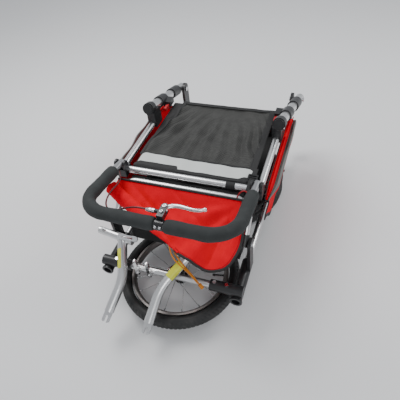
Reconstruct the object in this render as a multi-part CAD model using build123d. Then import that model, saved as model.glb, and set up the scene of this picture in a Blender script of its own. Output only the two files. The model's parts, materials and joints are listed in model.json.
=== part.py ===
from build123d import *
from math import cos, pi, radians, sin, tan
import os

os.makedirs("parts", exist_ok=True)

# Child bicycle trailer, folded flat with its wheels off. X is across the trailer, the front is
# at -Y, Z is up from the ground and the origin is on the ground under the middle. Sizes in mm.

# Clearances
running = 0.05  # radial, a pin or shaft that turns or slides in its hole
stack_gap = 1.0  # between a wheel and what lies on it
slot_gap = 0.5  # each side of a lever in its fork

# Main wheels, 20 inch, lying flat in a stack of two under the frame
main_tyre_radius = 247.0
main_tyre_width = 47.0
main_rim_radius = 209.0
main_hub_flange_radius = 27.0
main_hub_barrel_radius = 17.0
main_bore_clearance = 0.1
main_flange_in = 6.0  # from the hub's end
main_sleeve_wall = 2.9
main_spoke_count = 20
main_centre_y = 218.0

# Jogging wheel, 16 inch, lying flat in front
jog_tyre_radius = 197.0
jog_tyre_width = 47.0
jog_rim_radius = 160.0
jog_hub_half_length = 37.0
jog_hub_flange_radius = 23.0
jog_hub_barrel_radius = 13.0
jog_flange_in = 8.0  # from the hub's end
jog_spoke_count = 16
jog_centre_y = -258.0
jog_centre_z = 50.0
skewer_radius = 2.5
skewer_nut_radius = 9.0
skewer_nut_height = 12.0
cup_radius = 9.5
cup_height = 6.0
cam_pin_radius = 3.0
cam_cheek = 4.0
cam_radius = 6.5
cam_length = 20.0
cam_lever_length = 42.0
cam_lever_heading = 235.0  # degrees from +X

# Wheel details that all three share
tyre_wall = 3.0
tyre_centre_share = 0.45  # of the way from the rim to the tread
rim_width = 27.0
rim_edge_depth = 7.0
rim_depth = 15.0
rim_ridge_width = 9.0
spoke_radius = 1.0
spoke_seat = 1.5  # how far a spoke's end is let into hub and rim
flange_thickness = 3.0
spoke_lean_degrees = 55.0

# Lower frame
tube_radius = 11.0
tube_wall = 1.6
rail_x = 214.0
rail_front_y = -298.0
rail_rear_y = 486.0
cross_y = -320.0
cross_above_rail = 23.0
cross_end_in = 24.0  # from the rail's middle
axle_y = 250.0
axle_tube_end_in = 38.0
axle_block_length = 44.0
saddle_drop = 7.5
axle_block_rise = 19.0
axle_block_proud = 5.0  # beyond the front castings' side
casting_wall = 6.0
joint_gap = 2.0  # between a tube's end and what is round it
socket_radius = 12.75
socket_depth = 45.0
wing_length = 60.0
bolt_radius = 3.0
bolt_head_radius = 5.5
bolt_head_height = 4.0
bolt_from_end = (46.0, 9.0)
collar_length = 6.0
collar_proud = 2.0

# Front hoop that carries the red cover
hoop_radius = 10.0
hoop_in = 4.0
hoop_top_y = -130.0
hoop_top_z = 318.0
hoop_foot_y = -208.0
hoop_bend = 50.0
hoop_bolt_radius = 4.0
hoop_bolt_head_radius = 7.5
hoop_cap_length = 18.0
hoop_cap_lap = 8.0
hoop_cap_wall = 2.0
post_thickness = 9.0
post_length = 40.0
post_behind_foot = 7.0

# Back frame, folded forward over the cabin
back_tube_out = 11.0
back_tube_z = 330.0
back_tube_rear_y = 168.0
back_cross_y = -95.0
strut_radius = 16.5
strut_wall = 2.0
strut_top_out = 17.0
strut_top_y = 150.0
strut_top_z = 392.0
pivot_out = 36.0
pivot_from_end = 8.0
pivot_z = 282.0
pivot_radius = 5.0
pivot_tail = 22.0
pivot_head_radius = 9.0
pivot_head_height = 4.0
pivot_washer = 2.5
strut_cap_thickness = 3.0
sleeve_wall = 4.5
knuckle_wall = 4.0
knuckle_span = (-18.0, 34.0)  # about the side tube's rear end
knuckle_rounding = 7.0
back_tube_overhang = 14.0  # beyond the cross tube's middle
sleeve_spans = ((152.0, 178.0), (245.0, 298.0), (372.0, 440.0))
rear_post_thickness = 11.0
rear_post_length = 46.0
heel_span = (-38.0, 6.0)  # from the pivot and from the rail's end

# Handlebar
bar_out = 5.0
bar_pivot_y = -105.0
bar_pivot_z = 360.0
bar_front_y = -344.0
bar_front_z = 402.0
bar_bend = 80.0
bar_pin_radius = 4.0
bar_tail = 10.0
foam_radius = 20.0
foam_end_y = -150.0
ear_thickness = 6.5
ear_gap = 0.5
ear_half_length = 12.0
ear_rise = 11.0
ear_rounding = 10.0
clamp_x = 24.0
clamp_half_length = 12.0
clamp_wall = 4.0
clamp_space = 3.0

# Brake lever on the handlebar, and the brake on the front cross tube
lever_pivot_y = -301.0
lever_pivot_z = 420.0
lever_pin_radius = 3.0
lever_hub_radius = 9.0
lever_hub_height = 12.0
fork_cheek = 3.0
fork_half_width = 9.0
lever_reach = 102.0
lever_rise = 19.0
barrel_radius = 5.5
barrel_length = 24.0
barrel_clearance = 6.0  # from the lever's hub
cable_clearance = 0.2
lever_root = (5.5, 7.0)
lever_tip = (5.5, 3.4)
lever_ball_radius = 6.0
brake_boss_x = (-102.0, -62.0)
brake_boss_radius = 4.0
brake_arm_length = 62.0
brake_arm_width = 11.0
brake_arm_thickness = 8.0
brake_eye_radius = 9.0
brake_boss_tip = 6.0  # beyond the brake arm

# Jogging arms
arm_radius = 15.0
arm_wall = 2.5
arm_lower = 105.0
arm_upper = 128.0
arm_bend_degrees = 26.0
arm_bend_radius = 150.0
arm_slope = 27.5
arm_tip_y = -470.0
arm_tip_drop = 68.5  # below where it would lie on the castings
arm_left_x = -146.0
arm_left_yaw = -8.0
arm_right_x = -14.0
arm_right_yaw = -4.0
loop_right_heading = -30.0
plug_radius = 12.5
plug_inner = 40.0
plug_outer = 88.0
stub_radius = 5.0
stub_height = 22.0
stub_from_end = 26.0
dropout_thickness = 6.0
dropout_width = 25.0
dropout_length = 32.0
dropout_slot = 9.8
dropout_slot_depth = 16.0
dropout_root = 14.0
dropout_rounding = 6.0
loop_length = 72.0
loop_width = 16.0
loop_thickness = 6.0
loop_bar = 4.5
loop_pin_radius = 3.0

# Axle pins stowed in their sockets
axle_pin_radius = 6.0
axle_pin_gap = 6.0  # from the axle tube's end
axle_cap_radius = 13.0
axle_cap_thickness = 9.0
button_radius = 5.0
button_depth = 6.0
button_proud = 3.0
button_travel = 2.5
cap_gap = 1.0  # between the axle pin's cap and the block

# Release tabs of the fold lock
tab_in = 32.2  # from the strut's middle
tab_y = 239.0
tab_drop = 19.2  # below the strut's middle
tab_length = 26.0
tab_width = 10.0
tab_height = 14.0
tab_travel = 6.0
shank_size = 6.0
shank_length = 26.0
shank_clearance = 0.3
tab_rounding = 3.0
housing_x = (-7.0, 20.0)  # about the tab
housing_z = (-9.0, 12.0)

# Fabric and padding
fabric = 4.0
tub_in = 19.0
tub_front_y = -215.0
tub_from_end = 66.0
tub_clearance = 13.0  # over the rails
tub_height = 84.0
pad_thickness = 22.0
seat_in = 30.0  # from the tub's side
seat_length = 360.0
seat_front = (12.0, 30.0)  # behind the tub's front, base and back
pad_gap = 0.5
pad_rounding = 20.0
cover_thickness = 5.0
cover_rear_y = -146.0
cover_rear_z = 331.0
cover_front_y = -332.0
cover_front_z = 237.0
cover_left_out = 16.0
cover_right_in = 7.0
mesh_in = 28.0  # from the back tube's middle
mesh_gap = 12.0  # from the cross tube
mesh_rear_y = 307.0
mesh_thickness = 6.0
strip_length = 50.0
strip_thickness = 4.0
strip_rounding = 12.0
strap_width = 10.0
strap_thickness = 11.0
buckle_width = 30.0
buckle_length = 34.0
buckle_thickness = 6.0
buckle_pitch = 9.0
buckle_rim = 4.0
side_panel_out = 26.0
side_panel_thickness = 6.0
side_panel_front_y = -95.0
side_panel_before_pivot = 48.0
side_panel_below_tub = 3.0
side_panel_top_z = 312.0
side_panel_drop_y = 285.0
side_panel_rear_z = 236.0
roof_clearance = 1.5
roof_depth = 34.0

# Cords: the points stay as chosen
cable_diameter = 5.0
cable_points = [
    (-6, -316, 420), (-42, -315, 422), (-78, -316, 413), (-112, -317, 394), (-146, -312, 378),
    (-172, -290, 371), (-185, -256, 367), (-188, -218, 361), (-187, -182, 354), (-196, -155, 352),
    (-209, -136, 357),
]
pull_diameter = 4.5
pull_points = [
    (12, -292, 246), (22, -303, 236), (40, -318, 224), (62, -330, 209), (86, -338, 186), (107, -345, 160),
]
toggle_radius = 5.5
toggle_length = 15.0
tie_diameter = 4.0
tie_points = [
    (168, -137, 327.5), (173, -133, 344), (187, -128, 354), (202, -134, 351), (211, -147, 336),
    (212, -158, 316), (208, -165, 300),
]

# Worked out from the sizes above
main_centre_z = (main_tyre_width / 2, 1.5 * main_tyre_width + stack_gap)
stack_top = 2 * main_tyre_width + stack_gap
rail_z = stack_top + stack_gap + tube_radius
main_bore_radius = axle_pin_radius + main_bore_clearance
main_sleeve_radius = main_bore_radius + main_sleeve_wall
casting_half = tube_radius + casting_wall
knuckle_half = tube_radius + knuckle_wall
cross_z = rail_z + cross_above_rail
cross_end_x = rail_x - cross_end_in
axle_tube_end_x = rail_x - axle_tube_end_in
axle_pin_inner_x = axle_tube_end_x + axle_pin_gap
hoop_x = rail_x - hoop_in
back_tube_x = rail_x + back_tube_out
bar_x = rail_x + bar_out
strut_top = (rail_x + strut_top_out, strut_top_y, strut_top_z)
pivot_x = rail_x + pivot_out
pivot_y = rail_rear_y - pivot_from_end
axle_block_end_x = rail_x + tube_radius + casting_wall + axle_block_proud
strut_bottom = (pivot_x, pivot_y, pivot_z)
hoop_foot_z = hoop_top_z - (hoop_top_y - hoop_foot_y)
bar_slope = (bar_front_z - bar_pivot_z) / (bar_pivot_y - bar_front_y)
tub_floor_z = rail_z + tube_radius + tub_clearance
tub_top_z = tub_floor_z + tub_height
tub_half_width = rail_x - tub_in
tub_rear_y = rail_rear_y - tub_from_end
seat_half_width = tub_half_width - seat_in
mesh_z = back_tube_z - mesh_thickness / 2
mesh_half_width = back_tube_x - mesh_in
mesh_front_y = back_cross_y + tube_radius + mesh_gap
side_panel_x = rail_x + side_panel_out
side_panel_rear_y = pivot_y - side_panel_before_pivot
side_panel_bottom_z = tub_floor_z - side_panel_below_tub
cover_left = rail_x + cover_left_out
cover_right = rail_x - cover_right_in
arm_tip_z = cross_z + casting_half + arm_radius - arm_tip_drop

parts = {}


def along_strut(side, y):
    share = (y - strut_top[1]) / (strut_bottom[1] - strut_top[1])
    x = strut_top[0] + share * (strut_bottom[0] - strut_top[0])
    z = strut_top[2] + share * (strut_bottom[2] - strut_top[2])
    return (side * x, y, z)


tab_x = along_strut(1, tab_y)[0] - tab_in
tab_z = along_strut(1, tab_y)[2] - tab_drop


def rod(start, end, radius):
    """Solid round bar between two points."""
    axis = Vector(*end) - Vector(*start)
    return extrude(Plane(origin=start, z_dir=axis) * Circle(radius), axis.length)


def tube(start, end, radius, wall):
    return rod(start, end, radius) - rod(start, end, radius - wall)


def swept(path, radius):
    return sweep(Plane(origin=path @ 0, z_dir=path % 0) * Circle(radius), path=path)


def bent_rod(points, bend, radius):
    return swept(FilletPolyline(*points, radius=bend), radius)


def bent_tube(points, bend, radius, wall):
    return bent_rod(points, bend, radius) - bent_rod(points, bend, radius - wall)


def block(x, y, z):
    """Box from pairs of limits, given in either order."""
    size = [abs(pair[1] - pair[0]) for pair in (x, y, z)]
    middle = [(pair[1] + pair[0]) / 2 for pair in (x, y, z)]
    return Pos(*middle) * Box(*size)


def span(side, low, high):
    """Limits along X on one side of the trailer."""
    return (side * low, side * high)


def group(shapes):
    return Part() + list(shapes)


def cord(points, diameter):
    """Tube of straight runs joined by tangent arcs that take most of the shorter run."""
    vectors = [Vector(*p) for p in points]
    radii = []
    for before, here, after in zip(vectors, vectors[1:], vectors[2:]):
        turn = (here - before).get_angle(after - here)
        run = min((here - before).length, (after - here).length)
        radii.append(0.45 * run / tan(radians(turn) / 2))
    return swept(FilletPolyline(*points, radius=radii), diameter / 2)


# Wheels ---------------------------------------------------------------------------------------


def tyre(rim_radius, radius, width):
    middle = rim_radius + tyre_centre_share * (radius - rim_radius)
    outer = Pos(middle, 0) * Ellipse(radius - middle, width / 2)
    inner = Pos(middle, 0) * Ellipse(radius - middle - tyre_wall, width / 2 - tyre_wall)
    outside_rim = Pos(rim_radius + radius / 2, 0) * Rectangle(radius, width)
    return revolve(Plane.XZ * ((outer - inner) & outside_rim), Axis.Z)


def rim(radius):
    half = rim_width / 2
    outline = [
        (radius, -half),
        (radius, half),
        (radius - rim_edge_depth, half),
        (radius - rim_depth, rim_ridge_width / 2),
        (radius - rim_depth, -rim_ridge_width / 2),
        (radius - rim_edge_depth, -half),
    ]
    return revolve(Plane.XZ * make_face(Polyline(*outline, close=True)), Axis.Z)


def hub(half_length, flange_radius, barrel_radius, bore_radius, flange_z):
    body = Cylinder(barrel_radius, 2 * half_length)
    for side in (-1, 1):
        body += Pos(0, 0, side * flange_z) * Cylinder(flange_radius, flange_thickness)
    return body - Cylinder(bore_radius, 2 * half_length)


def spokes(count, flange_radius, flange_z, rim_radius):
    """Spokes go alternately to the upper and lower flange and leave it nearly along its edge."""
    lean = radians(spoke_lean_degrees)
    inner = flange_radius - flange_thickness
    outer = rim_radius - rim_depth + spoke_seat
    made = []
    for i in range(count):
        side = 1 if i % 2 else -1
        at_rim = 2 * pi * i / count
        at_hub = at_rim + side * lean
        start = (inner * cos(at_hub), inner * sin(at_hub), side * (flange_z - flange_thickness / 2))
        end = (outer * cos(at_rim), outer * sin(at_rim), 0)
        made.append(rod(start, end, spoke_radius))
    return group(made)


def main_wheels():
    flange_z = main_tyre_width / 2 - main_flange_in
    half = main_tyre_width / 2
    for number, z in enumerate(main_centre_z, start=1):
        place = Pos(0, main_centre_y, z)
        sleeve = Cylinder(main_sleeve_radius, 2 * half) - Cylinder(main_bore_radius, 2 * half)
        shell = hub(
            half, main_hub_flange_radius, main_hub_barrel_radius, main_sleeve_radius + running, flange_z
        )
        laced = spokes(main_spoke_count, main_hub_flange_radius, flange_z, main_rim_radius)
        parts[f"main_tyre_{number}"] = place * tyre(main_rim_radius, main_tyre_radius, main_tyre_width)
        parts[f"main_rim_{number}"] = place * rim(main_rim_radius)
        parts[f"main_spokes_{number}"] = place * laced
        parts[f"main_hub_{number}"] = place * shell
        parts[f"main_hub_sleeve_{number}"] = place * sleeve


def jog_wheel():
    place = Pos(0, jog_centre_y, jog_centre_z)
    flange_z = jog_hub_half_length - jog_flange_in
    laced = spokes(jog_spoke_count, jog_hub_flange_radius, flange_z, jog_rim_radius)
    shell = hub(
        jog_hub_half_length, jog_hub_flange_radius, jog_hub_barrel_radius, skewer_radius + running, flange_z
    )
    parts["jog_tyre"] = place * tyre(jog_rim_radius, jog_tyre_radius, jog_tyre_width)
    parts["jog_rim"] = place * rim(jog_rim_radius)
    parts["jog_spokes"] = place * laced
    parts["jog_hub"] = place * shell
    head_z = jog_hub_half_length + stack_gap
    nut_z = -head_z - skewer_nut_height / 2 + 0.5
    nut = Pos(0, 0, nut_z) * Cylinder(skewer_nut_radius, skewer_nut_height - 1)
    cup = Pos(0, 0, head_z + cup_height / 2) * Cylinder(cup_radius, cup_height)
    cam_z = head_z + cup_height + cam_radius + slot_gap
    heading = Rot(0, 0, cam_lever_heading)
    cam_pin = heading * rod((0, -cam_length / 2, cam_z), (0, cam_length / 2, cam_z), cam_pin_radius)
    cheek_y = (cam_length / 2 - cam_cheek, cam_length / 2)
    cheek = block((-5, 5), cheek_y, (head_z + cup_height - 1, cam_z + cam_cheek))
    cheeks = heading * (cheek + mirror(cheek, Plane.XZ))
    shaft = rod((0, 0, -head_z - skewer_nut_height + 1), (0, 0, head_z + 1), skewer_radius)
    parts["jog_skewer"] = place * (shaft + nut + cup + cam_pin + cheeks)
    inner_half = cam_length / 2 - cam_cheek - slot_gap
    roll = rod((0, -inner_half, cam_z), (0, inner_half, cam_z), cam_radius)
    blade = block((0, cam_lever_length), (-inner_half, inner_half), (cam_z - 1, cam_z + 4))
    blade = fillet(blade.edges().filter_by(Axis.Z).group_by(Axis.X)[-1], inner_half - 0.5)
    bore = rod((0, -cam_length, cam_z), (0, cam_length, cam_z), cam_pin_radius + running)
    parts["jog_cam_lever"] = place * heading * (roll + blade - bore)


# Lower frame ----------------------------------------------------------------------------------


def frame_bolt_rods():
    """Shanks of every bolt and pin in the lower frame, and the same with their heads."""
    shanks = []
    heads = []
    for side in (-1, 1):
        for x in (cross_end_x - from_end for from_end in bolt_from_end):
            top = cross_z + casting_half
            shanks.append(rod((side * x, cross_y, cross_z - 15), (side * x, cross_y, top), bolt_radius))
            end = (side * x, cross_y, top + bolt_head_height)
            heads.append(rod((side * x, cross_y, top), end, bolt_head_radius))
        y = hoop_foot_y - 10
        z = hoop_foot_z - 10
        outer = hoop_x + hoop_radius + joint_gap + post_thickness
        shanks.append(rod((side * (hoop_x - 12), y, z), (side * outer, y, z), hoop_bolt_radius))
        head_end = (side * (outer + bolt_head_height), y, z)
        heads.append(rod((side * outer, y, z), head_end, hoop_bolt_head_radius))
        inner = pivot_x - strut_radius - pivot_washer - rear_post_thickness
        outer = pivot_x + strut_radius + 1.5
        at = (pivot_y, pivot_z)
        shanks.append(rod((side * inner, *at), (side * outer, *at), pivot_radius))
        for near, far in ((inner, inner - pivot_head_height), (outer, outer + pivot_head_height)):
            heads.append(rod((side * near, *at), (side * far, *at), pivot_head_radius))
    return shanks, heads


def lower_frame():
    shanks, heads = frame_bolt_rods()
    holes = group(shanks)
    rails = []
    front = []
    rear = []
    hoop_ends = []
    for side in (-1, 1):
        x = side * rail_x
        bore = rod(
            (side * (axle_tube_end_x - 1), axle_y, rail_z),
            (side * (axle_block_end_x + 1), axle_y, rail_z),
            axle_pin_radius + running,
        )
        rail = tube((x, rail_front_y, rail_z), (x, rail_rear_y, rail_z), tube_radius, tube_wall) - bore
        rails.append(rail)
        rail_space = rod((x, rail_front_y, rail_z), (x, rail_rear_y, rail_z), tube_radius)
        x_limits = span(side, rail_x - casting_half, rail_x + casting_half)
        front_face_y = rail_front_y - joint_gap - socket_depth
        post_y = hoop_foot_y - post_behind_foot
        shoe = rod((x, front_face_y, rail_z), (x, post_y + post_length / 2, rail_z), casting_half)
        collar_ends = [(x, y, rail_z) for y in (front_face_y, front_face_y + collar_length)]
        collar = rod(*collar_ends, casting_half + collar_proud)
        cross_start = (side * (cross_end_x - wing_length), cross_y, cross_z)
        cross_cap = (side * (rail_x + casting_half), cross_y, cross_z)
        wing = rod(cross_start, cross_cap, casting_half)
        post_inner = hoop_x + hoop_radius + joint_gap
        post_x = span(side, post_inner, post_inner + post_thickness)
        post_span = (post_y - post_length / 2, post_y + post_length / 2)
        post = block(post_x, post_span, (rail_z, hoop_foot_z + 2))
        post = fillet(post.edges().filter_by(Axis.X).group_by(Axis.Z)[-1], post_length / 3)
        socket = rod((x, front_face_y, rail_z), (x, rail_front_y - joint_gap, rail_z), socket_radius)
        cross_space = rod((-cross_end_x, cross_y, cross_z), (cross_end_x, cross_y, cross_z), tube_radius)
        front.append(shoe + collar + wing + post - rail_space - socket - cross_space - holes)
        axle_block = block(
            span(side, axle_tube_end_x, axle_block_end_x),
            (axle_y - axle_block_length / 2, axle_y + axle_block_length / 2),
            (rail_z - saddle_drop, rail_z + axle_block_rise),
        )
        rear.append(axle_block - rail_space - bore)
        heel_z = (rail_z - saddle_drop, rail_z + casting_half)
        heel = block(x_limits, (pivot_y + heel_span[0], rail_rear_y + heel_span[1]), heel_z)
        outer = pivot_x - strut_radius - pivot_washer
        rear_post = block(
            span(side, outer - rear_post_thickness, outer),
            (pivot_y - rear_post_length / 2, pivot_y + rear_post_length / 2),
            (rail_z, pivot_z + rear_post_length / 2),
        )
        rear_post_top = rear_post.edges().filter_by(Axis.X).group_by(Axis.Z)[-1]
        rear_post = fillet(rear_post_top, rear_post_length / 2 - 1)
        rear.append(heel + rear_post - rail_space - holes)
        foot = (side * hoop_x, hoop_foot_y + hoop_cap_lap, hoop_foot_z + hoop_cap_lap)
        toe = (side * hoop_x, hoop_foot_y - hoop_cap_length, hoop_foot_z - hoop_cap_length)
        hoop_space = rod(foot, (side * hoop_x, hoop_foot_y, hoop_foot_z), hoop_radius)
        hoop_ends.append(rod(foot, toe, hoop_radius + hoop_cap_wall) - hoop_space - holes)
    parts["side_rails"] = group(rails)
    parts["front_castings"] = group(front)
    parts["rear_castings"] = group(rear)
    parts["hoop_end_caps"] = group(hoop_ends)
    parts["frame_bolts"] = group(shanks + heads)
    cross = tube((-cross_end_x, cross_y, cross_z), (cross_end_x, cross_y, cross_z), tube_radius, tube_wall)
    boss_root = cross_y - tube_radius + tube_wall / 2
    boss_tip = cross_y - tube_radius - brake_arm_thickness - brake_boss_tip
    for x in brake_boss_x:
        cross += rod((x, boss_root, cross_z), (x, boss_tip, cross_z), brake_boss_radius)
    parts["front_cross_tube"] = cross - holes
    ends = ((-axle_tube_end_x, axle_y, rail_z), (axle_tube_end_x, axle_y, rail_z))
    parts["axle_tube"] = tube(*ends, tube_radius, tube_wall)
    hoop_path = [
        (-hoop_x, hoop_foot_y, hoop_foot_z),
        (-hoop_x, hoop_top_y, hoop_top_z),
        (hoop_x, hoop_top_y, hoop_top_z),
        (hoop_x, hoop_foot_y, hoop_foot_z),
    ]
    parts["front_hoop"] = bent_tube(hoop_path, hoop_bend, hoop_radius, tube_wall)


def axle_pins():
    for side, word in ((-1, "left"), (1, "right")):
        cap_x = axle_block_end_x + cap_gap
        end_x = cap_x + axle_cap_thickness
        at = (axle_y, rail_z)
        pin = rod((side * axle_pin_inner_x, *at), (side * cap_x, *at), axle_pin_radius)
        pin += rod((side * cap_x, *at), (side * end_x, *at), axle_cap_radius)
        pocket_x = end_x - button_depth - button_travel
        pin -= rod((side * pocket_x, *at), (side * end_x, *at), button_radius + running)
        parts[f"axle_pin_{word}"] = pin
        button_x = end_x - button_depth
        button = rod((side * button_x, *at), (side * (end_x + button_proud), *at), button_radius)
        parts[f"axle_button_{word}"] = button


# Back frame -----------------------------------------------------------------------------------


def back_frame():
    tubes = []
    struts = []
    castings = []
    sleeves = []
    cross_end = back_tube_x - tube_radius - 1
    cross_ends = ((-cross_end, back_cross_y, back_tube_z), (cross_end, back_cross_y, back_tube_z))
    cross_space = rod(*cross_ends, tube_radius)
    tubes.append(tube(*cross_ends, tube_radius, tube_wall))
    for side, word in ((-1, "left"), (1, "right")):
        x = side * back_tube_x
        front = (x, back_cross_y - back_tube_overhang, back_tube_z)
        rear = (x, back_tube_rear_y, back_tube_z)
        tubes.append(tube(front, rear, tube_radius, tube_wall))
        side_space = rod(front, rear, tube_radius)
        low = bar_x - tube_radius - ear_gap - ear_thickness
        high = bar_x + tube_radius + ear_gap + ear_thickness
        base = block(
            span(side, low, high),
            (bar_pivot_y - ear_half_length - 2, back_cross_y + knuckle_half),
            (back_tube_z - knuckle_half, back_tube_z + tube_radius + joint_gap),
        )
        ears = base
        for near, far in ((low, low + ear_thickness), (high - ear_thickness, high)):
            ear_y = (bar_pivot_y - ear_half_length, bar_pivot_y + ear_half_length)
            ear = block(span(side, near, far), ear_y, (back_tube_z, bar_pivot_z + ear_rise))
            ears += fillet(ear.edges().filter_by(Axis.X).group_by(Axis.Z)[-1], ear_rounding)
        at = (bar_pivot_y, bar_pivot_z)
        pin = rod((side * low, *at), (side * high, *at), bar_pin_radius)
        castings.append(ears + pin - side_space - cross_space)
        top = (side * strut_top[0], strut_top[1], strut_top[2])
        tail = along_strut(side, pivot_y + pivot_tail)
        strut_space = rod(top, tail, strut_radius)
        hole_x = span(side, pivot_x - 2 * strut_radius, pivot_x + 2 * strut_radius)
        hole_ends = [(x, pivot_y, pivot_z) for x in hole_x]
        hole = rod(*hole_ends, pivot_radius + running)
        struts.append(tube(top, tail, strut_radius, strut_wall) - hole)
        ring_radius = strut_radius + sleeve_wall
        rings = [rod(along_strut(side, a), along_strut(side, b), ring_radius) for a, b in sleeve_spans]
        knuckle = block(
            span(side, back_tube_x - knuckle_half, back_tube_x + knuckle_half),
            [back_tube_rear_y + end for end in knuckle_span],
            (back_tube_z - knuckle_half, along_strut(side, back_tube_rear_y + 10)[2] - 4),
        )
        knuckle = fillet(knuckle.edges().filter_by(Axis.X), knuckle_rounding)
        castings.append(rings[0] + knuckle - side_space - strut_space)
        housing = block(
            span(side, tab_x + housing_x[0], tab_x + housing_x[1]),
            (tab_y + tab_length / 2 + tab_travel + joint_gap, sleeve_spans[1][1]),
            (tab_z + housing_z[0], tab_z + housing_z[1]),
        )
        pocket_half = shank_size / 2 + shank_clearance
        pocket_end = tab_y + tab_length / 2 + shank_length + tab_travel + slot_gap
        pocket = block(
            span(side, tab_x - pocket_half, tab_x + pocket_half),
            (tab_y, pocket_end),
            (tab_z - pocket_half, tab_z + pocket_half),
        )
        sleeves.append(rings[1] + housing - pocket - strut_space)
        sleeves.append(rings[2] - strut_space)
        head = block(
            span(side, tab_x - tab_width / 2, tab_x + tab_width / 2),
            (tab_y - tab_length / 2, tab_y + tab_length / 2),
            (tab_z - tab_height / 2, tab_z + tab_height / 2),
        )
        head = fillet(head.edges().filter_by(Axis.X), tab_rounding)
        shank_half = shank_size / 2
        shank = block(
            span(side, tab_x - shank_half, tab_x + shank_half),
            (tab_y, tab_y + tab_length / 2 + shank_length),
            (tab_z - shank_half, tab_z + shank_half),
        )
        parts[f"release_tab_{word}"] = head + shank
        along = Vector(*tail) - Vector(*top)
        for point, way in ((top, -1), (tail, 1)):
            end = Vector(*point) + along.normalized() * (way * strut_cap_thickness)
            sleeves.append(rod(point, tuple(end), strut_radius))
    parts["back_frame_tubes"] = group(tubes)
    parts["back_frame_castings"] = group(castings)
    parts["back_struts"] = group(struts)
    parts["strut_sleeves"] = group(sleeves)


def handlebar():
    rise = Vector(0, bar_front_y - bar_pivot_y, bar_front_z - bar_pivot_z).normalized()
    tail = Vector(bar_x, bar_pivot_y, bar_pivot_z) - rise * bar_tail
    points = [
        (-bar_x, tail.Y, tail.Z),
        (-bar_x, bar_front_y, bar_front_z),
        (bar_x, bar_front_y, bar_front_z),
        (bar_x, tail.Y, tail.Z),
    ]
    at = (bar_pivot_y, bar_pivot_z)
    holes = rod((-bar_x - 20, *at), (bar_x + 20, *at), bar_pin_radius + running)
    parts["handlebar_tube"] = bent_tube(points, bar_bend, tube_radius, tube_wall) - holes
    foam_end_z = bar_pivot_z + (bar_pivot_y - foam_end_y) * bar_slope
    clamp_room = clamp_half_length + clamp_space
    for side, word in ((-1, "left"), (1, "right")):
        points = [
            (side * bar_x, foam_end_y, foam_end_z),
            (side * bar_x, bar_front_y, bar_front_z),
            (clamp_x + side * clamp_room, bar_front_y, bar_front_z),
        ]
        parts[f"foam_grip_{word}"] = bent_tube(points, bar_bend, foam_radius, foam_radius - tube_radius)


def brake_lever():
    bar_axis = ((clamp_x - 30, bar_front_y, bar_front_z), (clamp_x + 30, bar_front_y, bar_front_z))
    ring_ends = [(clamp_x + way * clamp_half_length, bar_front_y, bar_front_z) for way in (-1, 1)]
    ring = rod(*ring_ends, tube_radius + clamp_wall)
    fork_half = lever_hub_height / 2 + slot_gap + fork_cheek
    z_limits = (lever_pivot_z - fork_half, lever_pivot_z + fork_half)
    fork_x = (clamp_x - fork_half_width, clamp_x + fork_half_width)
    body = block(fork_x, (bar_front_y + 6, lever_pivot_y + fork_half_width), z_limits)
    body = fillet(body.edges().filter_by(Axis.Z).group_by(Axis.Y)[-1], fork_half_width - 0.5)
    slot_half = lever_hub_height / 2 + slot_gap
    slot = block(
        (clamp_x - 20, clamp_x + 20),
        (lever_pivot_y - lever_hub_radius - barrel_clearance, lever_pivot_y + 20),
        (lever_pivot_z - slot_half, lever_pivot_z + slot_half),
    )
    pin_ends = [(clamp_x, lever_pivot_y, z) for z in z_limits]
    pin = rod(*pin_ends, lever_pin_radius)
    barrel_y = lever_pivot_y - lever_hub_radius - barrel_clearance
    barrel_ends = [(x, barrel_y, lever_pivot_z) for x in (clamp_x - 10, clamp_x - 10 - barrel_length)]
    barrel = rod(*barrel_ends, barrel_radius)
    body = ring + (body - slot) + pin + barrel - rod(*bar_axis, tube_radius)
    parts["brake_clamp"] = body - cable_space()
    pivot = Pos(clamp_x, lever_pivot_y, lever_pivot_z)
    eye = pivot * Cylinder(lever_hub_radius, lever_hub_height)
    curve = Spline(
        (clamp_x, lever_pivot_y, lever_pivot_z),
        (clamp_x + 0.3 * lever_reach, lever_pivot_y + 0.75 * lever_rise, lever_pivot_z),
        (clamp_x + 0.65 * lever_reach, lever_pivot_y + 0.6 * lever_rise, lever_pivot_z),
        (clamp_x + lever_reach, lever_pivot_y + lever_rise, lever_pivot_z),
    )
    root = Plane(origin=curve @ 0, z_dir=curve % 0, x_dir=(0, 0, 1)) * Ellipse(*lever_root)
    tip = Plane(origin=curve @ 1, z_dir=curve % 1, x_dir=(0, 0, 1)) * Ellipse(*lever_tip)
    ball = pivot * Pos(lever_reach, lever_rise, 0) * Sphere(lever_ball_radius)
    bore = pivot * Cylinder(lever_pin_radius + running, 3 * lever_hub_height)
    blade = sweep([root, tip], path=curve, multisection=True)
    parts["brake_lever_blade"] = eye + blade + ball - bore


def cable_space():
    """Where the brake cable's first run goes into the adjuster barrel."""
    start = Vector(*cable_points[0])
    way = (start - Vector(*cable_points[1])).normalized()
    return rod(tuple(start - way * 30), tuple(start + way * 0.01), cable_diameter / 2 + cable_clearance)


def brake_arms():
    """Two brake arms that stand up from bosses on the front cross tube."""
    rear_y = cross_y - tube_radius - joint_gap
    front_y = rear_y - brake_arm_thickness
    for x, word in zip(brake_boss_x, ("left", "right")):
        eye = rod((x, rear_y, cross_z), (x, front_y, cross_z), brake_eye_radius)
        half = brake_arm_width / 2
        bar = block((x - half, x + half), (front_y, rear_y), (cross_z, cross_z + brake_arm_length))
        bar = fillet(bar.edges().filter_by(Axis.Y).group_by(Axis.Z)[-1], half - 0.5)
        bore = rod((x, rear_y + 5, cross_z), (x, front_y - 5, cross_z), brake_boss_radius + running)
        parts[f"brake_arm_{word}"] = eye + bar - bore


# Jogging arms ---------------------------------------------------------------------------------


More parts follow.
